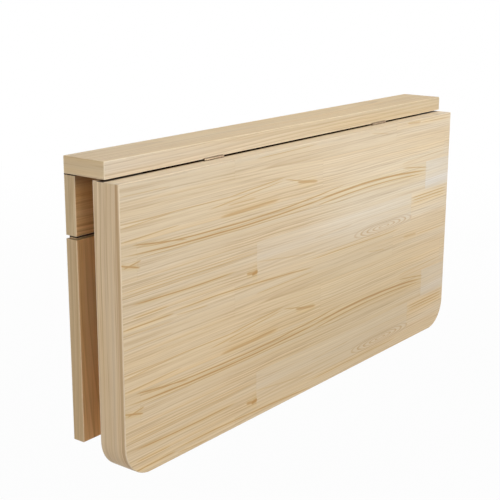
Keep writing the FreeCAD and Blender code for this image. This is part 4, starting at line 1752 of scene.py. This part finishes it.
@dataclass
class CountersunkScrews:
    """Countersunk screws with a cross recess and a pointed shank.

    Attributes:
        head_radius: Radius of the head.
        head_height: Height of the head.
        head_bevel: Width and height of the bevel round the head's face.
        shank_radius: Radius of the shank.
        point: Length of the point.
        recess_half: Half width of the recess's arms.
        recess_reach: How far the arms reach.
        recess_depth: How deep the recess is.
        recess_taper: Size of its bottom, as a share of its mouth.
        round_steps: Number of steps round.
    """

    head_radius: float = 2.8 * MM
    head_height: float = 1.1 * MM
    head_bevel: Pair = (0.12 * MM, 0.1 * MM)
    shank_radius: float = 1.5 * MM
    point: float = 3.2 * MM
    recess_half: float = 0.34 * MM
    recess_reach: float = 1.6 * MM
    recess_depth: float = 0.8 * MM
    recess_taper: float = 0.7
    round_steps: int = 32

    def one(self, length: float) -> Mesh:
        """Model one screw, its head's face at the origin and its point up.

        Args:
            length: Length over all.

        Returns:
            The screw's mesh.
        """
        width, height = self.head_bevel
        profile = [
            (0.0, 0.0), (self.head_radius - width, 0.0), (self.head_radius, height),
            (self.shank_radius, self.head_height), (self.shank_radius, length - self.point), (0.0, length),
        ]
        mesh = spun(profile, self.round_steps)
        self.cut_recess(mesh)
        return mesh

    def cut_recess(self, mesh: Mesh) -> None:
        """Sink the cross recess into the head's face.

        Args:
            mesh: The screw's mesh.
        """
        for axis in (Vector((1, 0, 0)), Vector((0, 1, 0))):
            for place in (-self.recess_reach, -self.recess_half, self.recess_half, self.recess_reach):
                top = [face for face in mesh.faces if abs(face.calc_center_median().z) < TINY]
                edges = [edge for face in top for edge in face.edges]
                verts = [vert for face in top for vert in face.verts]
                geom = list(dict.fromkeys(top + edges + verts))
                bmesh.ops.bisect_plane(mesh, geom=geom, dist=WELD, plane_co=axis * place, plane_no=axis)
        sunk = []
        for face in mesh.faces:
            middle = face.calc_center_median()
            x, y = abs(middle.x), abs(middle.y)
            if abs(middle.z) < TINY and max(x, y) < self.recess_reach and min(x, y) < self.recess_half:
                sunk.append(face)
        grown = bmesh.ops.extrude_face_region(mesh, geom=sunk)
        bmesh.ops.delete(mesh, geom=[face for face in sunk if face.is_valid], context="FACES_ONLY")
        verts = [item for item in grown["geom"] if isinstance(item, bmesh.types.BMVert)]
        bmesh.ops.scale(mesh, vec=(self.recess_taper, self.recess_taper, 1.0), verts=verts)
        bmesh.ops.translate(mesh, vec=(0, 0, self.recess_depth), verts=verts)

    def build(self, name: str, node: str, body: Body, places: list[Matrix], length: float,
              material: Material) -> None:
        """Build a group of screws in place of its CAD node.

        Args:
            name: The piece's name.
            node: The node it stands for.
            body: The body it rides on.
            places: Turn and place of each screw.
            length: Length of a screw.
            material: Its finish.
        """
        whole = bmesh.new()
        screw = self.one(length)
        for place in places:
            add_copy(whole, screw, place)
        screw.free()
        piece = new_piece(name, whole, material)
        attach(piece, body.value)
        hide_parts(node)


@dataclass(frozen=True)
class Lamp:
    """A square lamp that points at the table.

    Attributes:
        name: Its name.
        place: Its place, in metres.
        size: Its side, in metres.
        power: Its power, in watts.
        aim: What it points at, in metres.
    """

    name: str
    place: Triple
    size: float
    power: float
    aim: Triple = (0.0, -0.1, -0.1)

    def hang(self) -> None:
        """Hang the lamp."""
        light = bpy.data.lights.new(self.name, "AREA")
        light.size = self.size
        light.energy = self.power
        lamp = bpy.data.objects.new(self.name, light)
        lamp.location = self.place
        way = Vector(self.aim) - Vector(self.place)
        lamp.rotation_euler = way.to_track_quat("-Z", "Y").to_euler()
        bpy.context.scene.collection.objects.link(lamp)


@dataclass
class Studio:
    """Plain floor, soft light and the camera.

    Attributes:
        floor_level: Height of the floor, in metres.
        floor_half: Half of its side, in metres.
        floor_layer: Its mottling.
        floor_greys: The two greys of that.
        floor_white: How white it shows to the camera in the middle and far out.
        floor_span: How far from the middle that turns, in metres.
        sky: Colour of the light from all round.
        sky_strength: Its strength halfway between front and back.
        camera_place: Place of the camera, in metres.
        camera_tilt: Its tilt up from straight down, in degrees.
        camera_yaw: Its turn round the upright, in degrees.
        camera_roll: Its turn round its own axis, in degrees.
        lens: Its focal length, in millimetres.
        sensor: Width of its sensor, in millimetres.
        lamps: The lamps.
    """

    floor_level: float = -0.72
    floor_half: float = 5.0
    floor_layer: Layer = Layer((1.0, 1.0, 1.0), 2.0)
    floor_greys: tuple[Colour, Colour] = (paint(186, 186, 186), paint(192, 192, 192))
    floor_white: Pair = (0.97, 1.0)
    floor_span: Pair = (1.0, 4.0)
    sky: Colour = (1.0, 0.995, 0.985, 1.0)
    sky_strength: float = 0.148
    camera_place: Triple = (-1.45458, -1.09325, 0.32156)
    camera_tilt: float = 75.279
    camera_yaw: float = -52.2584
    camera_roll: float = 0.221
    lens: float = 79.936
    sensor: float = 36.0
    lamps: tuple[Lamp, ...] = (
        Lamp("right_lamp", (1.9, -2.0, 0.05), 1.0, 16.0),
        Lamp("upper_lamp", (0.25, -0.85, 1.0), 0.8, 4.2),
        Lamp("top_lamp", (0.0, -0.2, 1.9), 1.0, 8.7),
        Lamp("low_front_lamp", (-1.3, -1.9, 0.0), 1.0, 7.0),
        Lamp("high_front_lamp", (-0.6, -2.2, 0.9), 1.0, 11.2),
        Lamp("left_lamp", (-2.4, -0.05, 0.5), 0.6, 10.8),
        Lamp("left_front_lamp", (-2.2, -0.7, 0.1), 0.8, 4.2),
        Lamp("right_end_lamp", (2.4, 0.3, -0.15), 0.6, 7.0),
        Lamp("back_lamp", (0.0, 2.4, -0.3), 0.6, 24.0),
    )

    def build(self) -> None:
        """Set the stage."""
        bpy.context.scene.view_settings.view_transform = "Standard"
        self.lay_floor()
        self.light_world()
        for lamp in self.lamps:
            lamp.hang()
        self.place_camera()

    def lay_floor(self) -> None:
        """Lay a pale floor that shows white to the camera and keeps the shadow."""
        mesh = bmesh.new()
        bmesh.ops.create_grid(mesh, x_segments=2, y_segments=2, size=self.floor_half)
        bmesh.ops.translate(mesh, vec=(0, 0, self.floor_level), verts=mesh.verts)
        material = bpy.data.materials.new("pale_floor")
        sheet = NodeSheet(fresh_tree(material))
        where = sheet.node("ShaderNodeTexCoord").outputs["Object"]
        grey = sheet.mix(self.floor_layer.draw(sheet, where), *self.floor_greys)
        matt = sheet.fill(sheet.node("ShaderNodeBsdfDiffuse"), grey)
        white = sheet.node("ShaderNodeEmission").outputs[0]
        x, y = sheet.parts(where)[:2]
        share = sheet.rise(sheet.away(x, y), *self.floor_span, *self.floor_white)
        pale = sheet.blend(sheet.times(sheet.seen(), share), matt, white)
        under = sheet.node("ShaderNodeNewGeometry").outputs["Backfacing"]
        clear = sheet.node("ShaderNodeBsdfTransparent").outputs[0]
        sheet.show(sheet.blend(under, pale, clear))
        floor = new_piece("studio_floor", mesh, material)
        if floor.data.polygons[0].normal.z < 0:
            floor.data.flip_normals()

    def light_world(self) -> None:
        """Light from all round, most from the front, with a white background."""
        world = bpy.data.worlds.new("studio")
        bpy.context.scene.world = world
        sheet = NodeSheet(fresh_tree(world))
        back = sheet.parts(sheet.node("ShaderNodeTexCoord").outputs["Generated"])[1]
        strength = sheet.line(back, -self.sky_strength, self.sky_strength)
        soft = sheet.fill(sheet.node("ShaderNodeBackground"), self.sky, strength)
        white = sheet.fill(sheet.node("ShaderNodeBackground"), (1.0, 1.0, 1.0, 1.0))
        sheet.show(sheet.blend(sheet.seen(), soft, white), "ShaderNodeOutputWorld")

    def place_camera(self) -> None:
        """Stand the camera where the photograph was taken from."""
        data = bpy.data.cameras.new("photo_camera")
        data.lens = self.lens
        data.sensor_width = self.sensor
        camera = bpy.data.objects.new("photo_camera", data)
        look = Euler((math.radians(self.camera_tilt), 0.0, math.radians(self.camera_yaw))).to_matrix()
        camera.rotation_euler = (look @ Matrix.Rotation(math.radians(self.camera_roll), 3, "Z")).to_euler()
        camera.location = self.camera_place
        bpy.context.scene.collection.objects.link(camera)
        bpy.context.scene.camera = camera


def build_screws(hinges: ButtHinges, finish: SteelFinish) -> None:
    """Build all four groups of screws, each screw turned further than the one before.

    Args:
        hinges: The hinges, which give their screws' places.
        finish: The screws' plating.
    """
    screws = CountersunkScrews()
    material = finish.material()
    radius = screws.head_radius
    hinge_step, stay_step = 0.7, 0.9
    point_up = Matrix.Identity(4)
    point_down = Matrix.Rotation(math.pi, 4, "X")
    for node, body, turn in (("shelf_hinge_screws", Body.WALL_FRAME, point_up),
                             ("leaf_hinge_screws", Body.LEAF, point_down)):
        low, high = (Vector(corner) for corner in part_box(node))
        level = low.z if turn is point_up else high.z
        places = []
        for place in hinges.screw_places(node, radius):
            spot = Vector((place.x, place.y, level))
            spin = Matrix.Rotation(hinge_step * len(places), 4, "Z")
            places.append(Matrix.Translation(spot) @ turn @ spin)
        screws.build(f"{node}_crosshead", node, body, places, high.z - low.z, material)
    to_wall = Matrix.Rotation(-math.pi / 2, 4, "X")
    to_front = Matrix.Rotation(math.pi / 2, 4, "X")
    for node, body, turn in (("wall_stay_screws", Body.WALL_FRAME, to_wall),
                             ("leaf_stay_screws", Body.LEAF, to_front)):
        low, high = (Vector(corner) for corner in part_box(node))
        level = low.y if turn is to_wall else high.y
        places = []
        for side in Side:
            for height in (low.z + radius, high.z - radius):
                spot = Vector((side.value * (high.x - radius), level, height))
                spin = Matrix.Rotation(stay_step * len(places), 4, "Z")
                places.append(Matrix.Translation(spot) @ turn @ spin)
        screws.build(f"{node}_crosshead", node, body, places, high.y - low.y, material)


def main() -> None:
    """Dress the whole table and set the stage."""
    logging.basicConfig(level=logging.INFO, format="%(name)s: %(message)s")
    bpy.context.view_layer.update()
    pine = PineFinish()
    WallFrame().dress(pine)
    DropLeaf().dress(pine)
    hinges = ButtHinges()
    hinges.dress(SteelFinish("plated_hinge", paint(168, 148, 124), paint(132, 114, 94)))
    FoldingStays().dress(SteelFinish("plated_stay", paint(184, 185, 187), paint(142, 143, 145)))
    rivet_finish = SteelFinish("plated_rivet", paint(200, 199, 196), paint(164, 162, 158))
    DomedRivets().build_all(rivet_finish.material())
    build_screws(hinges, SteelFinish("plated_screw", paint(212, 210, 204), paint(174, 171, 164)))
    Studio().build()


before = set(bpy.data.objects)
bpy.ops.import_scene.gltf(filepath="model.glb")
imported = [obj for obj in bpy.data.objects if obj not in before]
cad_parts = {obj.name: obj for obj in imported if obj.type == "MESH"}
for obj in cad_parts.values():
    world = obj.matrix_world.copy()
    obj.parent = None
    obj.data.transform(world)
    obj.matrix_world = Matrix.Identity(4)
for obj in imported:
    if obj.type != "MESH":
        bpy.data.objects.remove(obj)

if __name__ == "__main__":
    main()
